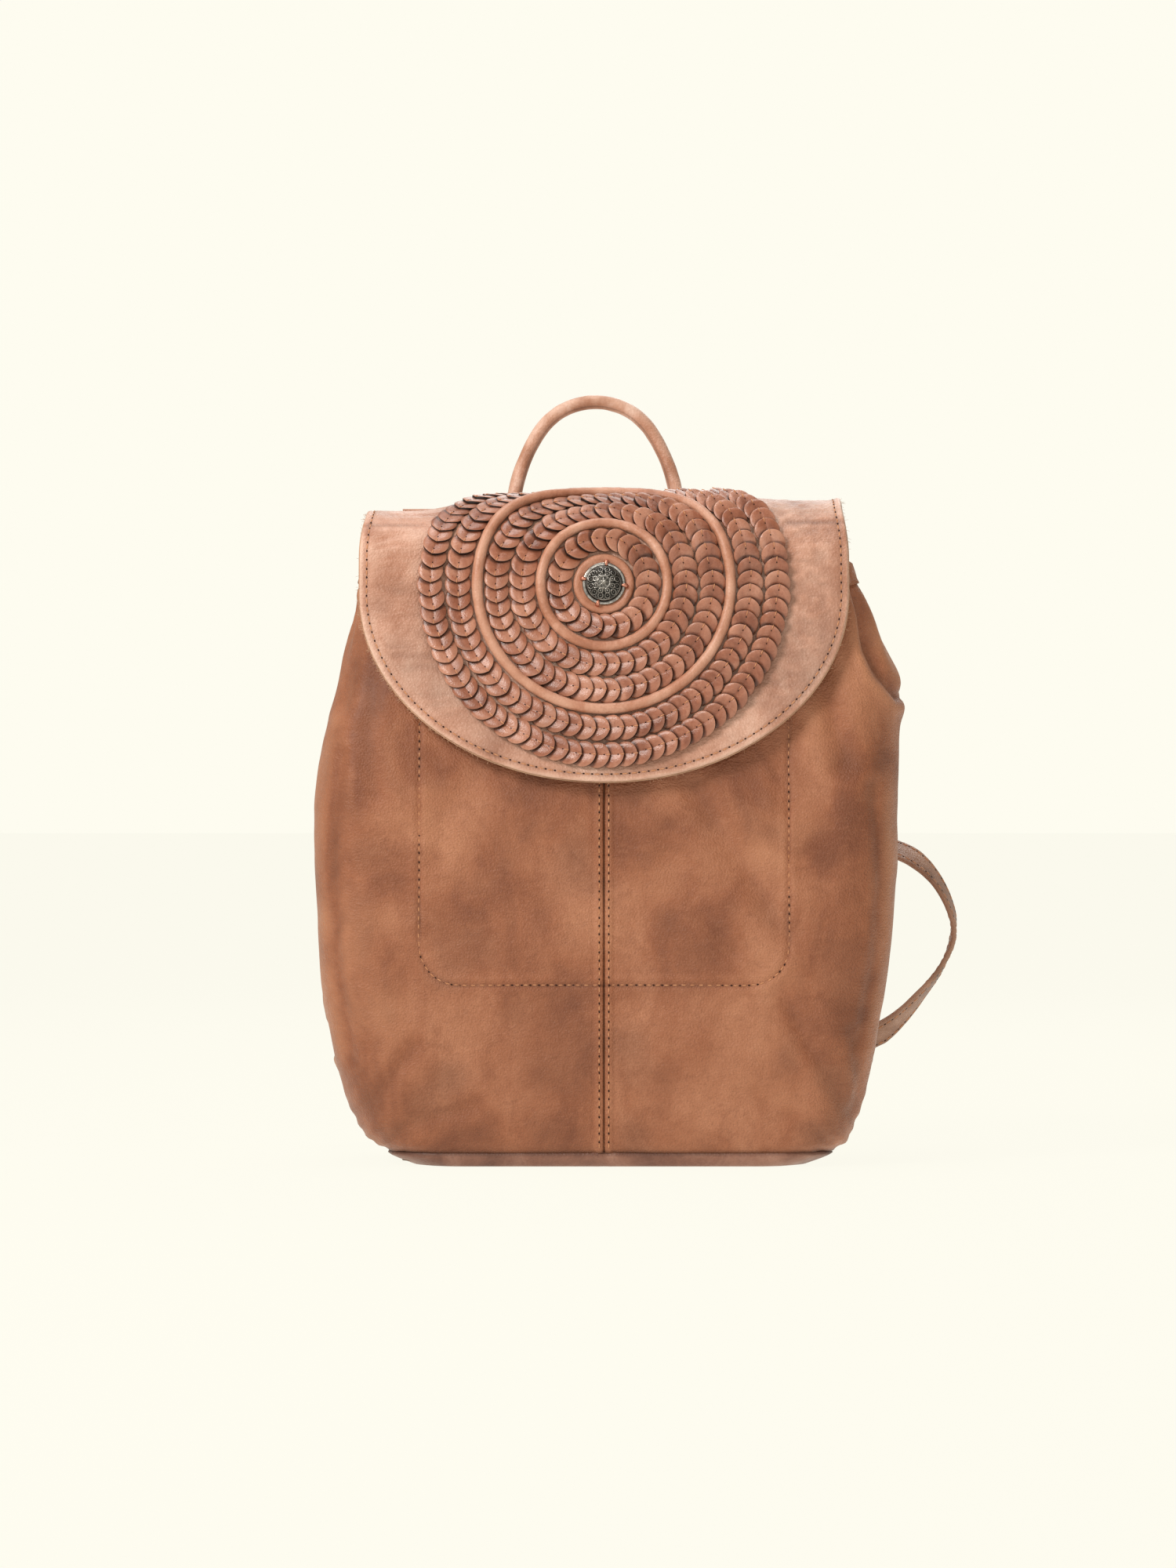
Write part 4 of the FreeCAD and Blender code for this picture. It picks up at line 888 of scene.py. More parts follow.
def flap_frame(across, along, height=0.0):
    """Point, upward direction and normal on the flap; along is measured up the leather from the medallion."""
    across, along, height = np.broadcast_arrays(*(np.asarray(v, float) for v in (across, along, height)))
    rolled = np.clip((along - LEVEL_END) / ROLL_RADIUS, 0, 2.2)
    angle = LEAN + np.clip((along - STRAIGHT) / BEND, 0, math.pi / 2 - LEAN) + rolled
    below = np.minimum(along - STRAIGHT, 0)
    bent = np.minimum(angle, math.pi / 2)
    y = BEND_DEPTH - BEND * np.cos(bent) + below * math.sin(LEAN)
    z = FLAP_TOP - BEND + BEND * np.sin(bent) + below * math.cos(LEAN)
    y = y + np.clip(along - STRAIGHT - BEND_LENGTH, 0, LEVEL_END - STRAIGHT - BEND_LENGTH)
    y = y + ROLL_RADIUS * np.sin(rolled)
    z = z - ROLL_RADIUS * (1 - np.cos(rolled))
    normal = np.stack([0 * angle, -np.cos(angle), np.sin(angle)], -1)
    upward = np.stack([0 * angle, np.sin(angle), np.cos(angle)], -1)
    point = np.stack([across, y, z], -1) + normal * height[..., None]
    drop = flap_sag(across, along)
    point[..., 2] -= drop
    return point, upward, normal


def flap_sag(across, along):
    """How far the top of the flap drops towards its two ends."""
    on_top = ramp(along, STRAIGHT + 8, STRAIGHT + BEND_LENGTH)
    left = 6.5 * ramp(-across, 52, 92)
    right = 1.6 * ramp(across, 60, 100) - 1.8 * ramp(across, 108, 118)
    return on_top * (left + right)


def edge_distance(across, along):
    """Distance in from the flap's outline."""
    down = np.maximum(ROUND_START - along, 0)
    out = np.hypot(across / FLAP_HALF, down / ROUND_LENGTH)
    reach = np.hypot(across, down) / np.maximum(out, 1e-6)
    return np.where(down > 0, (1 - out) * reach, FLAP_HALF - top_narrowing(along) - np.abs(across))


FLAP_LUMPS = ((0.35, 26, 51), (0.12, 9, 52))
FLAP_TONE = ((0.25, 30, 57), (0.15, 9, 58))
CRACKLE = (np.array([3.2, 3.2, 1.9]), 56)   # size and seed of the fine wrinkles on the flap's right


def edge_wave(points, edge):
    """Slow waves along the flap's free edge, the same in all its layers."""
    return 1.1 * bumps(points, 44, 53) * bell(edge, 16)


def flap_relief(across, along, points):
    """How far the flap's face stands off its plain shape, and its tone."""
    edge = edge_distance(across, along)
    off = lumps(points, *FLAP_LUMPS)
    off += edge_wave(points, edge)
    left = ramp(-across, 58, 84) * ramp(edge, 5, 10)
    rows = bumps(points + 2.5 * bumps(points, 14, 54)[..., None], np.array([26, 30, 3.2]), 55)
    off -= left * 0.55 * np.abs(rows)
    right = ramp(across, 62, 90) * ramp(edge, 5, 10)
    crackle = bumps(points, *CRACKLE)
    off += right * 0.26 * crackle
    off -= 0.28 * bell(edge - 3.5, 0.8)
    off -= 0.75 * (1 - np.clip(edge, 0, 1.1) / 1.1) ** 2
    outside = ramp(np.abs(across), 84, 92)
    crease = bell(points[..., 2] - 312 + flap_sag(across, along), 1.3) * outside * (points[..., 1] < 0)
    off -= 0.55 * crease
    # Uneven colour, with painted shade in the crease.
    tone = lumps(points, *FLAP_TONE) - 0.45 * crease
    # Lighter right at the edge; painted shade in the groove of the stitching 3.5 mm in.
    tone += 0.5 * bell(edge, 1.4) - 0.22 * bell(edge - 3.5, 1.0)
    # Painted highlights near the two top corners; darker towards the lower tip.
    tone += 0.22 * bell(np.abs(across) - 92, 14) * bell(along - 26, 22) - 0.22 * ramp(-along, 55, 95)
    # Painted shade in the left's rows of wrinkles, and over the whole right part.
    tone -= 0.24 * left * np.abs(rows) + 0.34 * ramp(across, 55, 95)
    tone += right * 0.22 * crackle
    return off, tone


def top_narrowing(along):
    """How much narrower each half of the flap gets over its bend."""
    return 2.6 * ramp(along, 14, 52)


def flap_grid(widen=0.0, last=LEVEL_END + ROLL_RADIUS * math.pi / 2 + 1.5):
    """Across and along values over the flap, its lower half running round the ellipse."""
    turn = np.radians(np.linspace(89, 0, 96))
    low_along = ROUND_START - (ROUND_LENGTH + widen) * np.sin(turn)
    low_half = (FLAP_HALF + widen) * np.cos(turn)
    high_along = np.linspace(ROUND_START, last, 118)[1:]
    along = np.concatenate([low_along, high_along])
    half = np.concatenate([low_half, FLAP_HALF + widen - top_narrowing(high_along)])
    near_edge = [0.968, 0.975, 0.981, 0.986, 0.99, 0.9935, 0.997, 1]
    share = np.concatenate([np.linspace(0, 0.96, 84), near_edge])
    share = np.concatenate([-share[:0:-1], share])
    return half[:, None] * share[None, :], along[:, None] + 0 * share[None, :]


def cross_hinge(piece):
    """Bakes the piece's placing into its points."""
    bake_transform(piece)


def make_flap():
    across, along = flap_grid()
    plain, _, normal = flap_frame(across, along)
    off, tone = flap_relief(across, along, plain)
    outer = plain + normal * off[..., None]
    rough_edge = edge_distance(across, along)
    inner = plain - normal * (FLAP_LEATHER - 0.05) + normal * (0.35 * bell(rough_edge, 0.8))[..., None]
    inner = inner + normal * edge_wave(plain, rough_edge)[..., None]
    piece = thick_sheet("flap_leather_skin", outer, inner, [FLAP, SUEDE], tone=tone, rim_material=1)
    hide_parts("flap_leather")
    cross_hinge(piece)

    across, along = flap_grid(0.45, LEVEL_END - 0.5)
    plain, _, normal = flap_frame(across, along)
    edge = edge_distance(across, along)
    nap = 0.18 * bumps(plain, 2.2, 61) * bell(edge, 1.5)
    wave = edge_wave(plain, edge)
    upper = plain + normal * (wave - FLAP_LEATHER - 0.1 + nap)[..., None]
    rounded = 0.35 * (1 - np.clip(edge + 0.45, 0, 0.9) / 0.9) ** 2
    lower = plain + normal * (wave - FLAP_FULL + rounded + nap)[..., None]
    tone = 0.2 * bumps(plain, 16, 62)
    piece = thick_sheet("flap_lining_skin", upper, lower, [SUEDE], tone=tone)
    settle(piece, "flap", "flap_lining")


def outline_path(inset):
    """Across and along of a dense path that runs round the flap's edge, inset from it."""
    up = np.linspace(LEVEL_END, ROUND_START, 300, endpoint=False)
    turn = np.radians(np.linspace(0, 180, 700))
    side = FLAP_HALF - inset - top_narrowing(up)
    across = np.concatenate([-side, -(FLAP_HALF - inset) * np.cos(turn), side[::-1]])
    along = np.concatenate([up, ROUND_START - (ROUND_LENGTH - inset) * np.sin(turn), up[::-1]])
    return across, along


def make_flap_stitches():
    across, along = outline_path(3.5)
    plain, _, normal = flap_frame(across, along)
    off, _ = flap_relief(across, along, plain)
    path = plain + normal * (off + 0.06)[:, None]
    piece = stitches("flap_stitches", [(path, normal)], THREAD, NEEDLE_HOLE_SHADE, pitch=4.5, length=2.9, radius=0.32)
    cross_hinge(piece)


FIBRES = 260


def make_fibres():
    """Loose ends along the raw lower edge, thickest on the left."""
    draw = np.random.default_rng(5)
    across, along = outline_path(-0.3)
    plain, upward, normal = flap_frame(across, along)
    weight = bell(across + 104, 26) * (along < 0) + 0.10
    at = draw.choice(len(across), FIBRES, p=weight / weight.sum())
    sideways = np.stack([across, 0 * across, 0 * across], -1) / FLAP_HALF ** 2
    downward = upward * (np.minimum(along - ROUND_START, 0) / ROUND_LENGTH ** 2)[:, None]
    outward = unit(sideways + downward)
    swing = draw.normal(0, 0.8, (FIBRES, 3))
    along_fibre = unit(outward[at] + 0.7 * swing)
    side = unit(np.cross(along_fibre, normal[at] + 0.01))
    third = np.cross(along_fibre, side)
    length = draw.uniform(0.5, 1.5, FIBRES)[:, None]
    sunk = draw.uniform(1.2, 2.8, FIBRES)[:, None]
    centres = plain[at] - normal[at] * sunk + along_fibre * length * 0.7
    frames = np.stack([side * 0.07, third * 0.07, along_fibre * length], 1)
    points, faces = bead(5, 4)
    piece = scattered("edge_fibres", points, faces, [0] * len(faces), frames, centres, [SUEDE])
    settle(piece, "flap", None)


# ---------------------------------------------------------------- the medallion

# each ring of scales: its radius and how many scales it has
RINGS = {"a": (83.5, 78), "b": (70.6, 66), "c": (52.2, 49), "d": (39.5, 37), "e": (21.5, 20)}
SCALE_RADIUS = 6.3
SCALE_TILT = 12
SCALE_PITCH = 6.7       # from one scale to the next along a ring


def ring_frame(radius, angle, height=0.0):
    """Point, travel direction, outward direction and normal on a ring that lies on the flap."""
    point, upward, normal = flap_frame(radius * np.cos(angle), radius * np.sin(angle), height)
    cosine, sine = np.cos(angle)[..., None], np.sin(angle)[..., None]
    return point, upward * cosine - X * sine, X * cosine + upward * sine, normal


def scale_shape():
    """One leather disc pinched along its middle into two puffed lobes, with a small point at its tip."""
    sides = 48
    rings = (0.12, 0.24, 0.36, 0.48, 0.6, 0.7, 0.79, 0.87, 0.93, 0.97, 1.0)
    turn = circle(sides)
    signed = np.arctan2(np.sin(turn), np.cos(turn))
    reach = SCALE_RADIUS * (1 + 0.03 * bell(signed, 0.10))
    # The middle point is darkened as painted shade, lying just past the edge of the scale before it.
    points, tone = [(0, 0, 0.1)], [-0.75]
    for share in rings:
        forward, sideways = share * reach * np.cos(turn), share * reach * np.sin(turn)
        aside = np.sqrt(sideways ** 2 + 0.9 ** 2) - 0.5
        lobes = 1 - ((aside / SCALE_RADIUS - 0.48) / 0.52) ** 2
        past_neighbour = np.hypot(forward + SCALE_PITCH, sideways) - SCALE_RADIUS
        height = 0.55 * lobes - 0.10 * bell(sideways, 0.6) - 0.45 * share ** 9
        for f, s, h, past in zip(forward, sideways, height, past_neighbour):
            points.append((f, s, h))
            # Painted shade just past the edge of the scale that lies over this one and along the pinched
            # middle; a painted highlight along the rim.
            shaded = 0.95 * (1 - float(ramp(past, 0.2, 1.5)))
            tone.append(0.22 * share ** 6 - 0.15 * math.exp(-(s / 0.5) ** 2) - shaded)
    # The underside is darkened as painted shade.
    for f, s in zip(0.975 * reach * np.cos(turn), 0.975 * reach * np.sin(turn)):
        points.append((f, s, -1.1 - 0.9 * f / SCALE_RADIUS))
        tone.append(-0.5)
    points.append((0, 0, -1.1))
    tone.append(-0.5)
    count = len(rings)
    faces = [(0, 1 + k, 1 + (k + 1) % sides) for k in range(sides)]
    kinds = [0] * sides
    for ring in range(count):
        for k in range(sides):
            a, b = 1 + ring * sides + k, 1 + ring * sides + (k + 1) % sides
            faces.append((a, a + sides, b + sides, b))
            kinds.append(1 if ring == count - 1 else 0)
    last = len(points) - 1
    start = 1 + count * sides
    faces += [(last, start + (k + 1) % sides, start + k) for k in range(sides)]
    kinds += [1] * sides
    return np.array(points), faces, kinds, np.array(tone)


def make_rings():
    points, faces, kinds, shade = scale_shape()
    draw = np.random.default_rng(11)
    dots, dot_faces = bead(7, 5)
    for letter, (radius, count) in RINGS.items():
        angle = circle(count)
        on_bend = ramp(radius * np.sin(angle), 14, 56) * ramp(-np.cos(angle), -0.6, 0.3)
        on_top = ramp(radius * np.sin(angle), 52, 70) * (1 - on_bend)
        raised = 4.5 * np.cos(angle) - 8.0 * on_bend - 8.0 * on_top + (2.5 if letter == "e" else 0)
        tilt = np.radians(SCALE_TILT * 1.45 + raised + draw.normal(0, 1.0, count))
        lift = SCALE_RADIUS * np.sin(tilt) + 0.65
        where, travel, outward, normal = ring_frame(radius + draw.normal(0, 0.25, count), angle, lift)
        twist = draw.normal(0, 0.06, count)[:, None]
        travel, outward = unit(travel + outward * twist), unit(outward - travel * twist)
        cosine, sine = np.cos(tilt)[:, None], np.sin(tilt)[:, None]
        forward = travel * cosine + normal * sine
        up = normal * cosine - travel * sine
        size = (1 + draw.normal(0, 0.02, count))[:, None]
        frames = np.stack([forward * size, outward * size, up], 1)
        own = draw.normal(0.04, 0.11, count)
        tone = np.clip(shade[None, :] + own[:, None], -1, 1)
        piece = scattered(f"scales_{letter}", points, faces, kinds, frames, where, [SCALE, SCALE_EDGE_AND_GAP_SHADE], tone)
        settle(piece, "flap", f"scale_ring_{letter}")
        thread_at = where + forward * 5.5 + up * 0.10
        # A dark bead at each scale's stitch hole: painted shade.
        hole_shade_at = where + forward * 3.6 + up * 0.12
        thread = np.stack([outward * 0.26, forward * 1.35, up * 0.3], 1)
        hole_shade = np.stack([outward * 0.34, forward * 0.45, up * 0.2], 1)
        piece = scattered(f"scale_thread_{letter}", dots, dot_faces, [0] * len(dot_faces),
                          np.concatenate([thread, hole_shade]), np.concatenate([thread_at, hole_shade_at]),
                          [THREAD, NEEDLE_HOLE_SHADE])
        set_kinds(piece.data, np.repeat([0] * count + [1] * count, len(dot_faces)))
        settle(piece, "flap", None)


def make_piping():
    """The two rolled rings; for each its radius on the flap and its own thickness."""
    for node, radius, wire in (("piping_outer", 61.15, 2.5), ("piping_inner", 30.6, 2.4)):
        angle = np.linspace(0, 2 * np.pi, 260, endpoint=False)
        where, _, outward, normal = ring_frame(radius, angle, wire + 0.1)
        turn = circle(14)
        round_it = spokes(outward, normal, turn)
        swell = wire * (1.06 + 0.05 * bumps(where, 7, 63) + 0.03 * bumps(where, 2.6, 64))
        rings = where[:, None, :] + round_it * swell[:, None, None]
        rings = rings + 0.12 * bumps(rings, 1.8, 65)[..., None] * round_it
        # Uneven colour, a painted highlight on the top of the cord, and painted shade along its underside
        # where it meets the flap.
        tone = 0.25 * bumps(rings, 9, 66) + 0.15 * ramp(np.sin(turn), 0.2, 1)[None, :]
        tone = tone - 0.6 * ramp(-np.sin(turn), -0.3, 0.6)[None, :]
        piece = swept(f"{node}_cord", rings[:, ::-1], [PIPING], closed=True, tone=tone[:, ::-1])
        settle(piece, "flap", node)


def turned(name, profile, materials, lift, sides=72, relief=None):
    """A round piece about the medallion's axis, from (radius, height) points; both ends are closed."""
    angle = np.linspace(0, 2 * np.pi, sides, endpoint=False)
    centre, upward, normal = (v.reshape(3) for v in flap_frame(0, 0, lift))
    round_it = spokes(X, upward, angle)[0]
    rings = np.array([centre + radius * round_it + height * normal for radius, height in profile])
    radius = np.array(profile)[:, 0][:, None] + 0 * angle
    tone = None
    if relief is not None:
        off, tone = relief(radius, angle[None, :] + 0 * radius)
        rings = rings + off[..., None] * normal
    faces = [tuple(f) for f in grid_faces(len(profile), sides, True)]
    last = (len(profile) - 1) * sides
    faces.append(tuple(range(last, last + sides)))
    faces.append(tuple(range(sides))[::-1])
    return make_mesh(name, rings, faces, materials, None, None if tone is None else np.ravel(tone))


def filigree(radius, angle):
    """Raised wires over the dome: a star in the middle, a ring of scrolls, and a beaded edge."""
    x, y = radius * np.cos(angle), radius * np.sin(angle)

    def wire(distance, width=0.30):
        return np.exp(-((distance / width) ** 2))

    raised = wire(radius - 3.0, 0.24) + 0.9 * wire(radius - 8.3, 0.3)
    star = np.abs(np.sin(4 * angle)) * radius * 0.35
    raised = np.maximum(raised, ramp(3.0 - radius, 0, 0.8) * wire(star, 0.30))
    for ring, count, size in ((4.5, 8, 1.1), (6.6, 12, 1.2)):
        for k in range(count):
            turn = 2 * math.pi * (k + 0.5) / count
            gap = np.hypot(x - ring * math.cos(turn), y - ring * math.sin(turn))
            raised = np.maximum(raised, wire(gap - size, 0.22))
            raised = np.maximum(raised, 0.9 * wire(gap, 0.36))
    beads = 0.5 + 0.5 * np.cos(36 * angle)
    raised = np.maximum(raised, beads * wire(radius - 7.7, 0.26))
    raised = np.maximum(raised, 1.3 * wire(radius, 0.7))
    raised = np.clip(raised, 0, 1.2)
    # Tone: black patina between the wires; the middle of the dome is kept bright as a painted highlight and
    # its outer part darkened as painted shade.
    tone = raised * 1.2 - 1.0 + 0.55 * ramp(6.0 - radius, 0, 5) - 0.3 * ramp(radius, 3, 7)
    return 0.5 * (raised - 0.6), np.clip(tone, -0.96, 0)


STUD_RADIUS = 9.2
STUD_RISE = 4.6
CLAW_BEARINGS = (-6, 83, 167, 253)
# how far out from the stud's middle and how high each claw runs
CLAW_LINE = ((11.4, 0), (11.3, 1.2), (10.6, 1.9), (9.5, 2.0), (8.7, 1.7))


def make_stud():
    puff = [(2, 0), (14.2, 0), (14.9, 0.7), (14.7, 1.7), (14.0, 2.35), (13.0, 2.6), (12.0, 2.45),
            (11.3, 2.0), (2, 1.9)]
    piece = turned("medallion_leather", puff, [PIPING], 0.1)
    settle(piece, "flap", "medallion_centre")
    ball = (STUD_RADIUS ** 2 + STUD_RISE ** 2) / (2 * STUD_RISE)
    outer = [(r, math.sqrt(ball ** 2 - r ** 2) - ball + STUD_RISE)
             for r in np.linspace(STUD_RADIUS, 0.15, 60)]
    piece = turned("stud_filigree", [(STUD_RADIUS, -0.4)] + outer, [SILVER], 3.05, 160, filigree)
    settle(piece, "flap", "stud_dome")
    collar = [(9.3, 0), (10.2, 0), (10.45, 0.45), (10.3, 0.9), (9.8, 1.1), (9.2, 0.9)]
    piece = turned("stud_collar", collar, [SILVER], 2.1, 96)
    settle(piece, "flap", "stud_rim")
    turn = circle(8)
    for number, bearing in enumerate(CLAW_BEARINGS):
        away = math.radians(bearing)
        centre, upward, normal = (v.reshape(3) for v in flap_frame(0, 0, 2.0))
        out = math.cos(away) * X + math.sin(away) * upward
        side = np.cross(normal, out)
        line = spline([centre + out * r + normal * h for r, h in CLAW_LINE], 5)
        along = unit(np.gradient(line, axis=0))
        lift = unit(np.cross(along, side))
        wide = np.interp(np.linspace(0, 1, len(line)), [0, 0.5, 0.9, 1], [1.0, 0.95, 0.65, 0.3])
        rings = line[:, None, :] + (side * np.cos(turn)[:, None])[None] * wide[:, None, None]
        rings = rings + lift[:, None, :] * (np.sin(turn) * 0.38)[None, :, None]
        piece = swept(f"stud_claw_{number + 1}", rings, [COPPER])
        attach(piece, "flap")
        if number == 0:
            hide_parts("stud_claws")


# ---------------------------------------------------------------- the handle

HANDLE_SHIFT = -4
HANDLE_HALF = 41.5
HANDLE_RISE = 62
HANDLE_TOP = 33
HANDLE_ROLL = 3.5
HANDLE_FOOT = np.array([HANDLE_SHIFT, 49.2, 315.5])
HANDLE_LEAN = math.radians(12)


def handle_line():
    """The handle's middle line in its own upright plane, from one foot over the top to the other."""
    side = (HANDLE_RISE - HANDLE_TOP) ** 2 + HANDLE_HALF ** 2 - HANDLE_TOP ** 2
    side = side / (2 * (HANDLE_HALF - HANDLE_TOP))
    shift = side - HANDLE_HALF
    meet = math.atan2(HANDLE_RISE - HANDLE_TOP, shift)
    low = np.linspace(0, meet, 26)
    high = np.linspace(meet, math.pi / 2, 30)[1:]
    x = np.concatenate([side * np.cos(low) - shift, HANDLE_TOP * np.cos(high)])
    z = np.concatenate([side * np.sin(low), HANDLE_RISE - HANDLE_TOP + HANDLE_TOP * np.sin(high)])
    x = np.concatenate([x, -x[-2::-1]])
    z = np.concatenate([z, z[-2::-1]])
    lean = np.array([0, math.sin(HANDLE_LEAN), math.cos(HANDLE_LEAN)])
    return HANDLE_FOOT + x[:, None] * X + z[:, None] * lean


def make_handle():
    """The rolled handle, flattening into its sewn feet, and the cord inside it."""
    line = handle_line()
    depth_axis = np.array([0, math.cos(HANDLE_LEAN), -math.sin(HANDLE_LEAN)])
    neck = np.array([(0, -0.1, -1.2), (0, -0.9, -3.6), (0, -1.8, -6.6)])
    line = np.concatenate([(line[0] + neck)[::-1], line, line[-1] + neck])
    along = unit(np.gradient(line, axis=0))
    side = unit(np.cross(depth_axis, along))
    count = len(line)
    from_end = np.minimum(np.arange(count), np.arange(count)[::-1])
    flat = np.interp(from_end, [0, 1, 3, 8], [1, 0.75, 0.3, 0])
    turn = circle(22)
    wide = HANDLE_ROLL * (1.0 + 0.75 * flat + 0.03 * bumps(line, 14, 71))
    deep = HANDLE_ROLL * (1.0 - 0.5 * flat)
    away = np.cos(turn)
    round_part = side[:, None, :] * (away[None, :] * wide[:, None])[..., None]
    round_part = round_part + depth_axis * (np.sin(turn)[None, :] * deep[:, None])[..., None]
    inside = np.abs(np.angle(np.exp(1j * (turn - math.pi * 1.18))))
    groove = 0.45 * bell(inside, 0.22)
    rings = line[:, None, :] + round_part * (1 - groove / HANDLE_ROLL)[None, :, None]
    rings = rings + 0.10 * bumps(rings, 4, 72)[..., None] * unit(round_part)
    outer_side = away * np.sign(((line - line.mean(0)) * side).sum())
    # Painted highlight on the outer side of the roll, painted shade on its inner side and in its seam groove.
    tone = 0.25 * bumps(rings, 10, 73) + 0.22 * outer_side[None, :] - 0.5 * (groove > 0.2)[None, :]
    piece = swept("handle_leather_roll", rings, [ROLL], tone=tone)
    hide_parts("handle_roll")
    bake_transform(piece)

    core = handle_line()
    along = unit(np.gradient(core, axis=0))
    side = unit(np.cross(depth_axis, along))
    turn = circle(18)
    run = length_along(core)
    phase = turn[None, :] + 2 * np.pi * run[:, None] / 9
    strand = 1.9 * (0.9 + 0.1 * np.abs(np.cos(1.5 * phase)))
    rings = core[:, None, :] + spokes(side, depth_axis, turn) * strand[..., None]
    piece = swept("handle_cord_core", rings, [CORD])
    settle(piece, "handle", "handle_core")


# ---------------------------------------------------------------- pieces sewn to the back

def back_pad(name, middle, half, low, high, under, thick, node, material, inset=2.2, pitch=4.5):
    """A flat leather piece sewn on the back panel, with soft edges and a row of stitching round it."""
    share = np.array([0, 0.006, 0.015, 0.03, 0.06, *np.linspace(0.1, 0.9, 33), 0.94, 0.97, 0.985, 0.994, 1])
    x, z = np.meshgrid(middle + half * (2 * share - 1), low + (high - low) * share)
    wall, _, _ = wall_grid(0, x[0], z[:, 0])
    plain = wall.copy()
    edge = np.minimum(half - np.abs(x - middle), np.minimum(z - low, high - z))
    rounding = (1 - np.clip(edge, 0, 1.2) / 1.2) ** 2
    height = under + thick - 0.6 * rounding - 0.25 * bell(edge - inset, 0.7) + 0.12 * bumps(plain, 7, 81)
    outer = plain + np.stack([0 * x, height, 0 * x], -1)
    inner = plain + (0, under, 0)
    tone = 0.2 * bumps(outer, 12, 82) + 0.4 * bell(edge, 0.9)
    piece = thick_sheet(name, outer[:, ::-1], inner[:, ::-1], [material], tone=tone[:, ::-1])
    settle(piece, "bag", node)
    corners = [(middle + a * (half - inset), low + inset if b < 0 else high - inset)
               for a, b in ((-1, -1), (1, -1), (1, 1), (-1, 1), (-1, -1))]
    path = np.concatenate([np.linspace(a, b, 60, endpoint=False) for a, b in zip(corners[:-1], corners[1:])])
    level = at_height(DEPTHS, 2, path[:, 1])
    points = np.stack([path[:, 0], level, path[:, 1]], -1)
    off, _ = back_relief(points)
    points[:, 1] += off + under + thick - 0.2
    normal = np.broadcast_to((0, 1.0, 0), points.shape)
    piece = stitches(name + "_stitches", [(points, normal)], THREAD, NEEDLE_HOLE_SHADE,
                     pitch=pitch, length=pitch * 0.62, radius=0.32)
    settle(piece, "bag", None)


def make_back_pieces():
    back_pad("anchor_strip", 0, 100, 286, 321.8, 0.1, 1.8, "flap_anchor_strip", FLAP)
    for name, side in (("handle_tab_left", -1), ("handle_tab_right", 1)):
        back_pad(name + "_leather", HANDLE_SHIFT + side * HANDLE_HALF, 7, 290, 311.5, 2.0, 3.0,
                 name, ROLL, 1.8, 3.4)
    back_pad("strap_patch_leather", 0, 46, 260, 282, 0.1, 4.8, "strap_patch", BODY)


# ---------------------------------------------------------------- the shoulder straps

STRAP_TOP = np.array([34.0, 64, 245])
STRAP_FOOT = np.array([131.0, 62, 56])
SHORT_BEND = np.array([44.0, 76, 228])
BUCKLE_RUN = unit((0.50, 0.42, -0.757))
DEPTHWAYS = np.array([0, 1.0, 0])
FLAT_ACROSS = unit(X - BUCKLE_RUN * BUCKLE_RUN[0])
SWING_AXIS = unit(STRAP_FOOT - STRAP_TOP)
STRAP_HALF = 8.5
STRAP_THICK = 2.5
TAIL_LENGTH = 38
TAIL_LIFT = 4.85
LEFT_TURN = math.radians(65)
MIRROR = np.array([-1, 1, 1])


def in_buckle(along, up, sideways=0.0):
    """A point by its distances along, above and beside the middle line of the strap's buckle."""
    outward = -FLAT_ACROSS
    normal = np.cross(BUCKLE_RUN, outward)
    return SHORT_BEND + BUCKLE_RUN * (TAIL_LENGTH + 4 + along) + outward * sideways + normal * up


def corner_skin_point(level, off_skin):
    """A point off the bag's right back corner, halfway round it."""
    half = half_width(1, level)
    back, radius = (at_height(DEPTHS, k, level) for k in (2, 3))
    diagonal = math.sqrt(0.5) * (radius + off_skin)
    return np.array([half - radius + diagonal, back - radius + diagonal, level])


SHORT_ROUTE = [
    ((34, 51.2, 277), X), ((34, 52.0, 262), X), ((34, 55.5, 253.5), X), (STRAP_TOP, X),
    (STRAP_TOP + (4.5, 5.6, -8.5), X), (SHORT_BEND - BUCKLE_RUN * 3, FLAT_ACROSS),
    (SHORT_BEND + BUCKLE_RUN * 6, FLAT_ACROSS),
    *((in_buckle(along, 0), FLAT_ACROSS) for along in (-18, -6, -2.5, 1.6, 2.9)),
]
UNDER = -1.5 - 0.3 - STRAP_THICK / 2     # below the buckle's bar and a small gap
THROUGH_BUCKLE = ((-TAIL_LENGTH, TAIL_LIFT), (-20, TAIL_LIFT), (1, TAIL_LIFT), (5, TAIL_LIFT - 0.9),
                  (17, UNDER + 0.7), (21, UNDER), (30, UNDER))
LONG_ROUTE = [
    *((in_buckle(along, up), FLAT_ACROSS) for along, up in THROUGH_BUCKLE),
    ((94, 110.5, 167), (0.95, 0.3, 0.3)),
    ((112, 107, 161.5), (0.6, 0.9, 0.3)), ((129, 97.5, 157), (0.3, 1, 0.1)),
    ((143, 87.5, 153.5), (0.2, 0.9, 0.4)), ((157, 79.5, 147), (0.2, 0.9, 0.42)),
    ((168.5, 76, 135), (0.2, 0.95, 0.25)),
    ((175.5, 74.5, 119), (0.15, 1, 0.1)), ((175.5, 73, 106), DEPTHWAYS), ((169.5, 71.5, 92), (0.1, 1, -0.05)),
    ((160, 69.5, 79.5), (0.25, 1, -0.1)), ((150, 67, 68.5), (0.4, 0.9, -0.2)),
    ((140, 64.5, 60.5), (0.5, 0.8, -0.4)), (STRAP_FOOT, (0.6, 0.65, -0.45)),
]
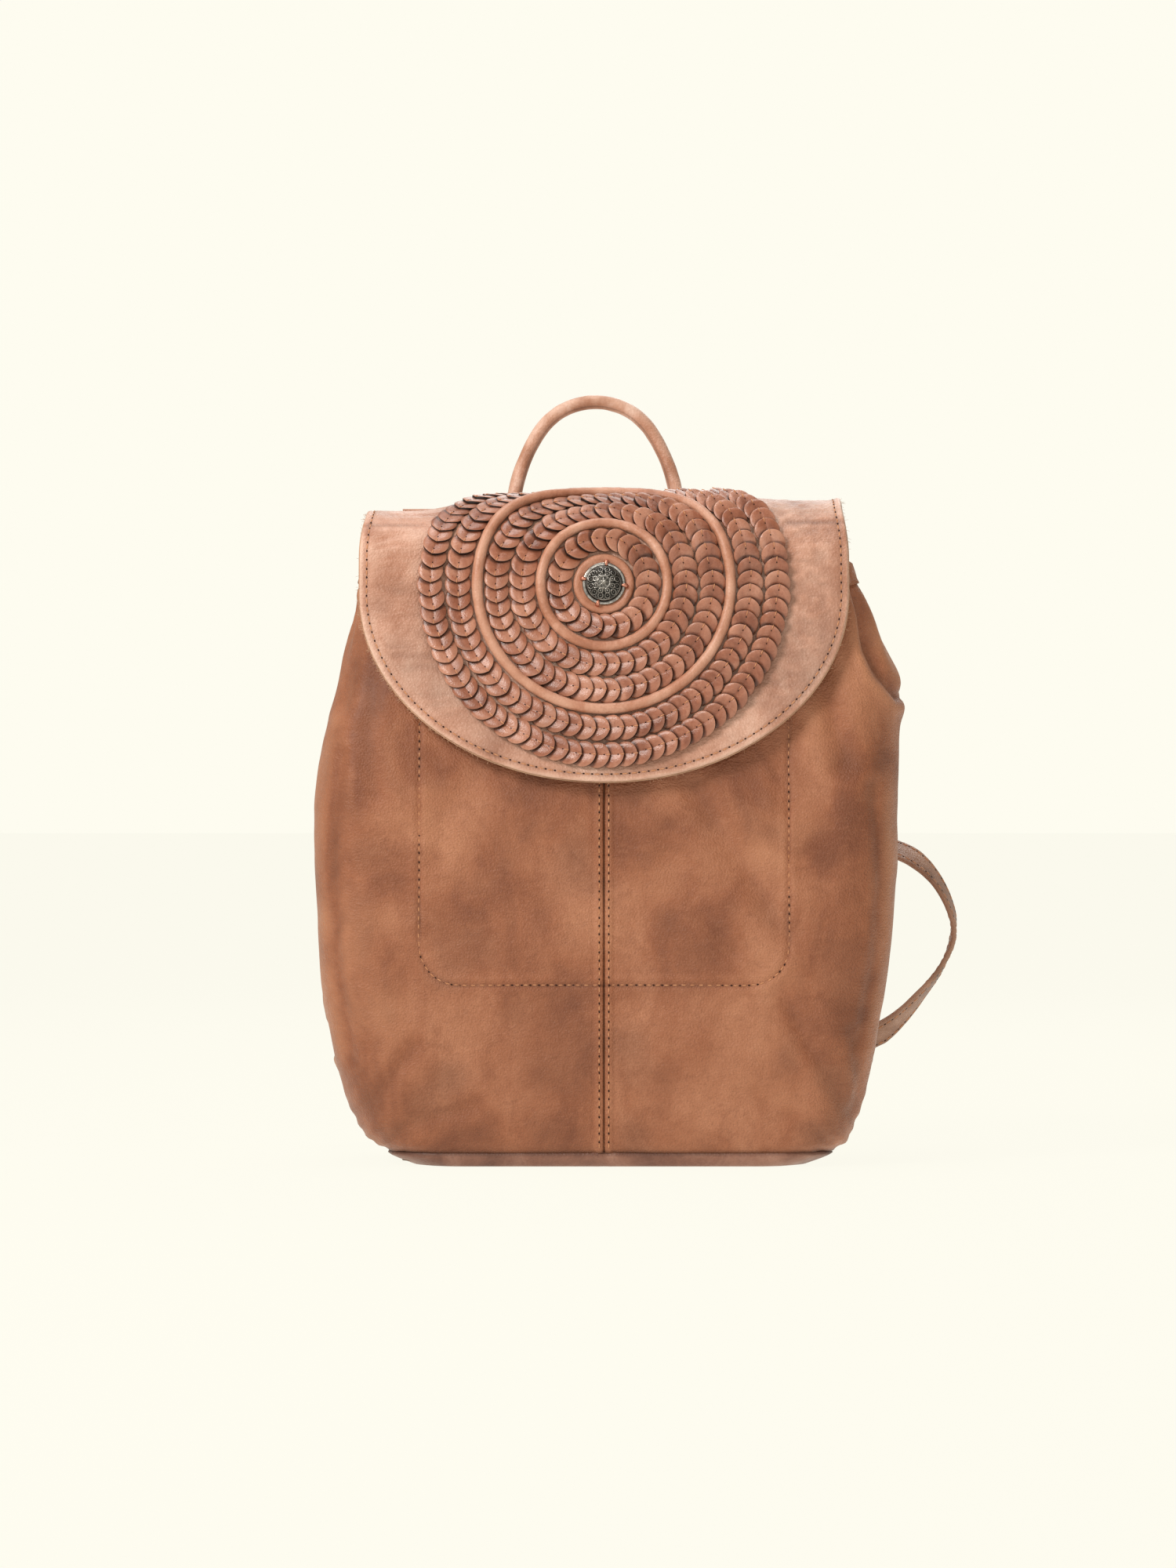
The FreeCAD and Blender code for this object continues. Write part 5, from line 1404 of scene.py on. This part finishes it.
TAB_ROUTE = [
    (corner_skin_point(46, 6), (1, -0.2, -0.2)), (corner_skin_point(36, 3.6), (1, -0.8, 0)),
    (corner_skin_point(20, 3.2), (1, -1, 0)),
]


EYE_RADIUS = 3.3        # of the strap's end, rolled round the buckle's bar
EYE_REACH = 9           # how far from the bar the strap is thicker than elsewhere
STITCH_LINE = 0.70      # where the stitches run, as a share of the strap's half width
# half of a strap's section: how far across, and how much of the thickness there
HALF_ACROSS = np.array([0.5, 0.66, STITCH_LINE, 0.74, 0.84, 0.93, 0.985, 1])
HALF_PUFF = np.array([1, 0.93, 0.84, 0.93, 0.99, 0.88, 0.55, 0.12])
BLEND_RUN = 9           # the length of strap that bends where it is sewn on


def strap(name, route, rooted, nodes, mirrored, swell_from=None, pointed=False):
    """A stitched two-layer strap along a route of (point, width direction), joined to the bag at one end."""
    middle = spline([p for p, _ in route], 14)
    width = unit(spline([unit(w) * 10 for _, w in route], 14))
    loose = len(middle)
    along = unit(np.gradient(middle, axis=0))
    width = unit(width - along * (width * along).sum(-1, keepdims=True))
    face = np.cross(along, width)
    half, thick = np.full(loose, STRAP_HALF), np.full(loose, STRAP_THICK / 2)
    half = half + 0.25 * bumps(middle, 16, 91)
    if swell_from is not None:
        gap = np.linalg.norm(middle - swell_from, axis=1)
        eye = np.sqrt(np.maximum(EYE_RADIUS ** 2 - np.minimum(gap, 3.25) ** 2 * 0.86, 0.1))
        neck = np.interp(gap, [EYE_RADIUS, 8, EYE_REACH], [1.9, 1.35, 1.25])
        thick = np.where(gap < EYE_REACH, np.where(gap < EYE_RADIUS, eye, neck), thick)
        thick = np.maximum(thick, 1.2)
    if pointed:
        run = np.linalg.norm(middle - middle[0], axis=1)
        half = half * np.sqrt(np.clip(run / 9, 0.02, 1))
    across = np.concatenate([-HALF_ACROSS[::-1], [0], HALF_ACROSS])
    puff = np.concatenate([HALF_PUFF[::-1], [1.04], HALF_PUFF])
    section_across = np.concatenate([across, across[::-1][1:-1]])
    section_up = np.concatenate([puff, -puff[::-1][1:-1]])
    rings = middle[:, None, :] + width[:, None, :] * (half[:, None] * section_across)[..., None]
    rings = rings + face[:, None, :] * (thick[:, None] * section_up)[..., None]
    rings = rings + face[:, None, :] * 0.10 * bumps(rings, 5, 92)[..., None]
    rows = []
    for side in (-STITCH_LINE, STITCH_LINE):
        for up in (1, -1):
            path = middle + width * (half * side)[:, None] + face * (up * (thick * 0.86 + 0.05))[:, None]
            rows.append((path, face * up))
    if mirrored:
        stays = np.array([rooted(p) for p in middle])
        rings = blend_left(rings, stays[:, None])
        rows = [(blend_left(path, stays), turn_left(normal, stays)) for path, normal in rows]
        rings = rings[:, ::-1]
    tone = 0.25 * bumps(rings, 14, 93) + 0.45 * bell(np.abs(section_across) - 1, 0.06)[None, :]
    piece = swept(name, rings, [STRAP], tone=tone)
    thread = stitches(name + "_stitches", rows, THREAD, NEEDLE_HOLE_SHADE, pitch=4.6, length=2.9, radius=0.32)
    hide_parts(*nodes)
    return piece, thread


def blend_left(points, stays):
    """The left strap: the right one mirrored, then swung in behind the bag where stays is 0, and
    only mirrored where it is 1."""
    top, axis = STRAP_TOP * MIRROR, SWING_AXIS * MIRROR
    p = points * MIRROR - top
    angle = LEFT_TURN * (1 - np.asarray(stays, float)[..., None])
    cosine, sine = np.cos(angle), np.sin(angle)
    return top + p * cosine + np.cross(axis, p) * sine + (p @ axis)[..., None] * axis * (1 - cosine)


def turn_left(vectors, stays):
    """The same for directions."""
    return blend_left(vectors + STRAP_TOP, stays) - STRAP_TOP * MIRROR


def make_straps():
    def short_root(p):
        return 1 - ramp((p - STRAP_TOP) @ SWING_AXIS, 0, BLEND_RUN)

    def long_root(p):
        return 1 - ramp(np.linalg.norm(p - STRAP_FOOT), 1, BLEND_RUN) * (p[2] > STRAP_FOOT[2])

    for side, mirrored in (("right", False), ("left", True)):
        short = strap(f"strap_upper_{side}", SHORT_ROUTE, short_root,
                      [f"strap_short_{side}", f"strap_end_{side}"], mirrored, swell_from=in_buckle(0, 0))
        for piece in short:
            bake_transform(piece)
        long = strap(f"strap_lower_{side}", LONG_ROUTE + TAB_ROUTE, long_root,
                     [f"strap_long_{side}", f"strap_tab_{side}"], mirrored, pointed=True)
        for piece in long:
            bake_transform(piece)
        make_keeper(side, mirrored)


def make_keeper(side, mirrored):
    """The leather loop that holds the tail down."""
    half, low, high, wall = 9.6, -2.0, TAIL_LIFT + 1.9, 1.3
    corner = 2.0
    turn = np.linspace(0, math.pi / 2, 6)
    ring = []
    for sx, sy, start in ((1, 1, 0), (-1, 1, 1), (-1, -1, 2), (1, -1, 3)):
        cx = sx * (half - corner)
        cy = (high - corner) if sy > 0 else (low + corner)
        angles = turn + start * math.pi / 2
        ring += [(cx + corner * math.cos(a), cy + corner * math.sin(a)) for a in angles]
    ring = np.array(ring)
    centre = np.array([0, (low + high) / 2])
    outward = unit(ring - centre)
    profile = [(-4, 0.1), (-3.6, 0.85), (-2.4, 1.15), (0, 1.3), (2.4, 1.15), (3.6, 0.85), (4, 0.1),
               (3.6, 0), (-3.6, 0)]
    rings = np.array([[in_buckle(-15 + a, r[1] + o[1] * h * wall / 1.3, r[0] + o[0] * h) for a, h in profile]
                      for r, o in zip(ring, outward)])
    if mirrored:
        rings = blend_left(rings, np.zeros(rings.shape[:-1]))[:, ::-1]
    piece = swept(f"keeper_{side}", rings, [STRAP], closed=True, tone=0.2 * bumps(rings, 5, 95))
    settle(piece, f"strap_{side}", f"buckle_keeper_{side}")


# ---------------------------------------------------------------- pieces kept from the CAD model

def paint(node, material):
    """Gives a CAD node that stays visible its material."""
    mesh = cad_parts[node].data
    mesh.materials.clear()
    mesh.materials.append(material)


def paint_kept_nodes():
    for node, material in (("base_stiffener", BOARD), ("snap_socket", STEEL), ("snap_magnet", MAGNET),
                           ("snap_socket_washer", STEEL), ("snap_stud", STEEL), ("snap_stud_washer", STEEL),
                           ("stud_post", RIM_METAL), ("stud_washer", STEEL)):
        paint(node, material)
    for side in ("right", "left"):
        paint(f"buckle_frame_{side}", RIM_METAL)
        paint(f"buckle_prong_{side}", RIM_METAL)


# ---------------------------------------------------------------- floor, light and camera

CREAM = colour(254, 252, 240)
FLOOR_SHADE = (0.036, 0.035, 0.032, 1)
FLOOR_TINT = (0.030, 0.029, 0.026, 1)
FLOOR_GLOW = 0.958      # the floor's own light, which gives it the backdrop's colour
FLOOR_REACH = 20.0      # metres from the middle to each edge


def make_stage():
    """A plain pale floor."""
    points = FLOOR_REACH * np.array([(-1, -1, 0), (1, -1, 0), (1, 1, 0), (-1, 1, 0)])
    g = Graph("pale_floor")
    shade = g.noise(600.0, 1.0)
    base = g.mix(g.spread(shade, 0.3, 0.7, 0.0, 0.1), FLOOR_SHADE, FLOOR_TINT)
    g.finish(base=base, rough=0.9, specular=0.0)
    g.put(g.shader.inputs["Emission Color"], CREAM)
    g.put(g.shader.inputs["Emission Strength"], FLOOR_GLOW)
    floor = make_mesh("floor", points / MM, [(0, 1, 2, 3)], [g.material])


WORLD_LIGHT = 0.42      # how strongly the pale surroundings light the bag; the camera sees them at 1
AIM = (0, 0, 0.2)
# name, place, size, power and tint of each light, in metres and watts
LIGHTS = (
    ("key", (-1.3, -1.4, 1.5), 0.8, 32, (1.0, 0.98, 0.95)),
    ("fill", (0.1, -2.6, 0.7), 1.2, 6, (1.0, 0.98, 0.96)),
    ("top", (-0.2, 0.1, 2.1), 1.0, 13, (1, 1, 1)),
    ("behind", (0.3, 1.6, 1.3), 1.2, 8, (1, 1, 1)),
)


def area_light(name, place, size, power, tint):
    data = bpy.data.lights.new(name, "AREA")
    data.shape, data.size, data.energy, data.color = "DISK", size, power, tint
    light = bpy.data.objects.new(name, data)
    bpy.context.scene.collection.objects.link(light)
    light.location = place
    light.rotation_mode = "QUATERNION"
    light.rotation_quaternion = (Vector(AIM) - Vector(place)).to_track_quat("-Z", "Y")


def make_lights():
    for light in LIGHTS:
        area_light(*light)
    world = bpy.data.worlds.new("studio")
    world.use_nodes = True
    bpy.context.scene.world = world
    nodes, links = world.node_tree.nodes, world.node_tree.links
    back = nodes["Background"]
    back.inputs["Color"].default_value = CREAM
    seen = nodes.new("ShaderNodeLightPath").outputs["Is Camera Ray"]
    strength = nodes.new("ShaderNodeMapRange")
    strength.inputs["To Min"].default_value = WORLD_LIGHT
    links.new(seen, strength.inputs["Value"])
    links.new(strength.outputs["Result"], back.inputs["Strength"])


CAMERA_AWAY = 3.0       # metres from the bag's middle to the camera
FRAME_TALL = 0.770      # metres that the frame is tall there
CAMERA_SIDE = -7.7      # millimetres
CAMERA_HEIGHT = 184.8
SENSOR = 36


def make_camera():
    """Level with the middle of the bag, straight in front of it."""
    data = bpy.data.cameras.new("camera")
    camera = bpy.data.objects.new("camera", data)
    bpy.context.scene.collection.objects.link(camera)
    data.sensor_width = SENSOR
    data.lens = SENSOR * CAMERA_AWAY / FRAME_TALL
    camera.location = (CAMERA_SIDE * MM, -CAMERA_AWAY, CAMERA_HEIGHT * MM)
    camera.rotation_euler = (math.pi / 2, 0, 0)
    bpy.context.scene.camera = camera
    bpy.context.scene.view_settings.view_transform = "Standard"


make_camera()
make_lights()
make_stage()
make_walls()
make_base()
make_hem()
make_lining()
make_pocket()
make_front_stitches()
make_flap()
make_flap_stitches()
make_fibres()
make_rings()
make_piping()
make_stud()
make_handle()
make_back_pieces()
make_straps()
paint_kept_nodes()
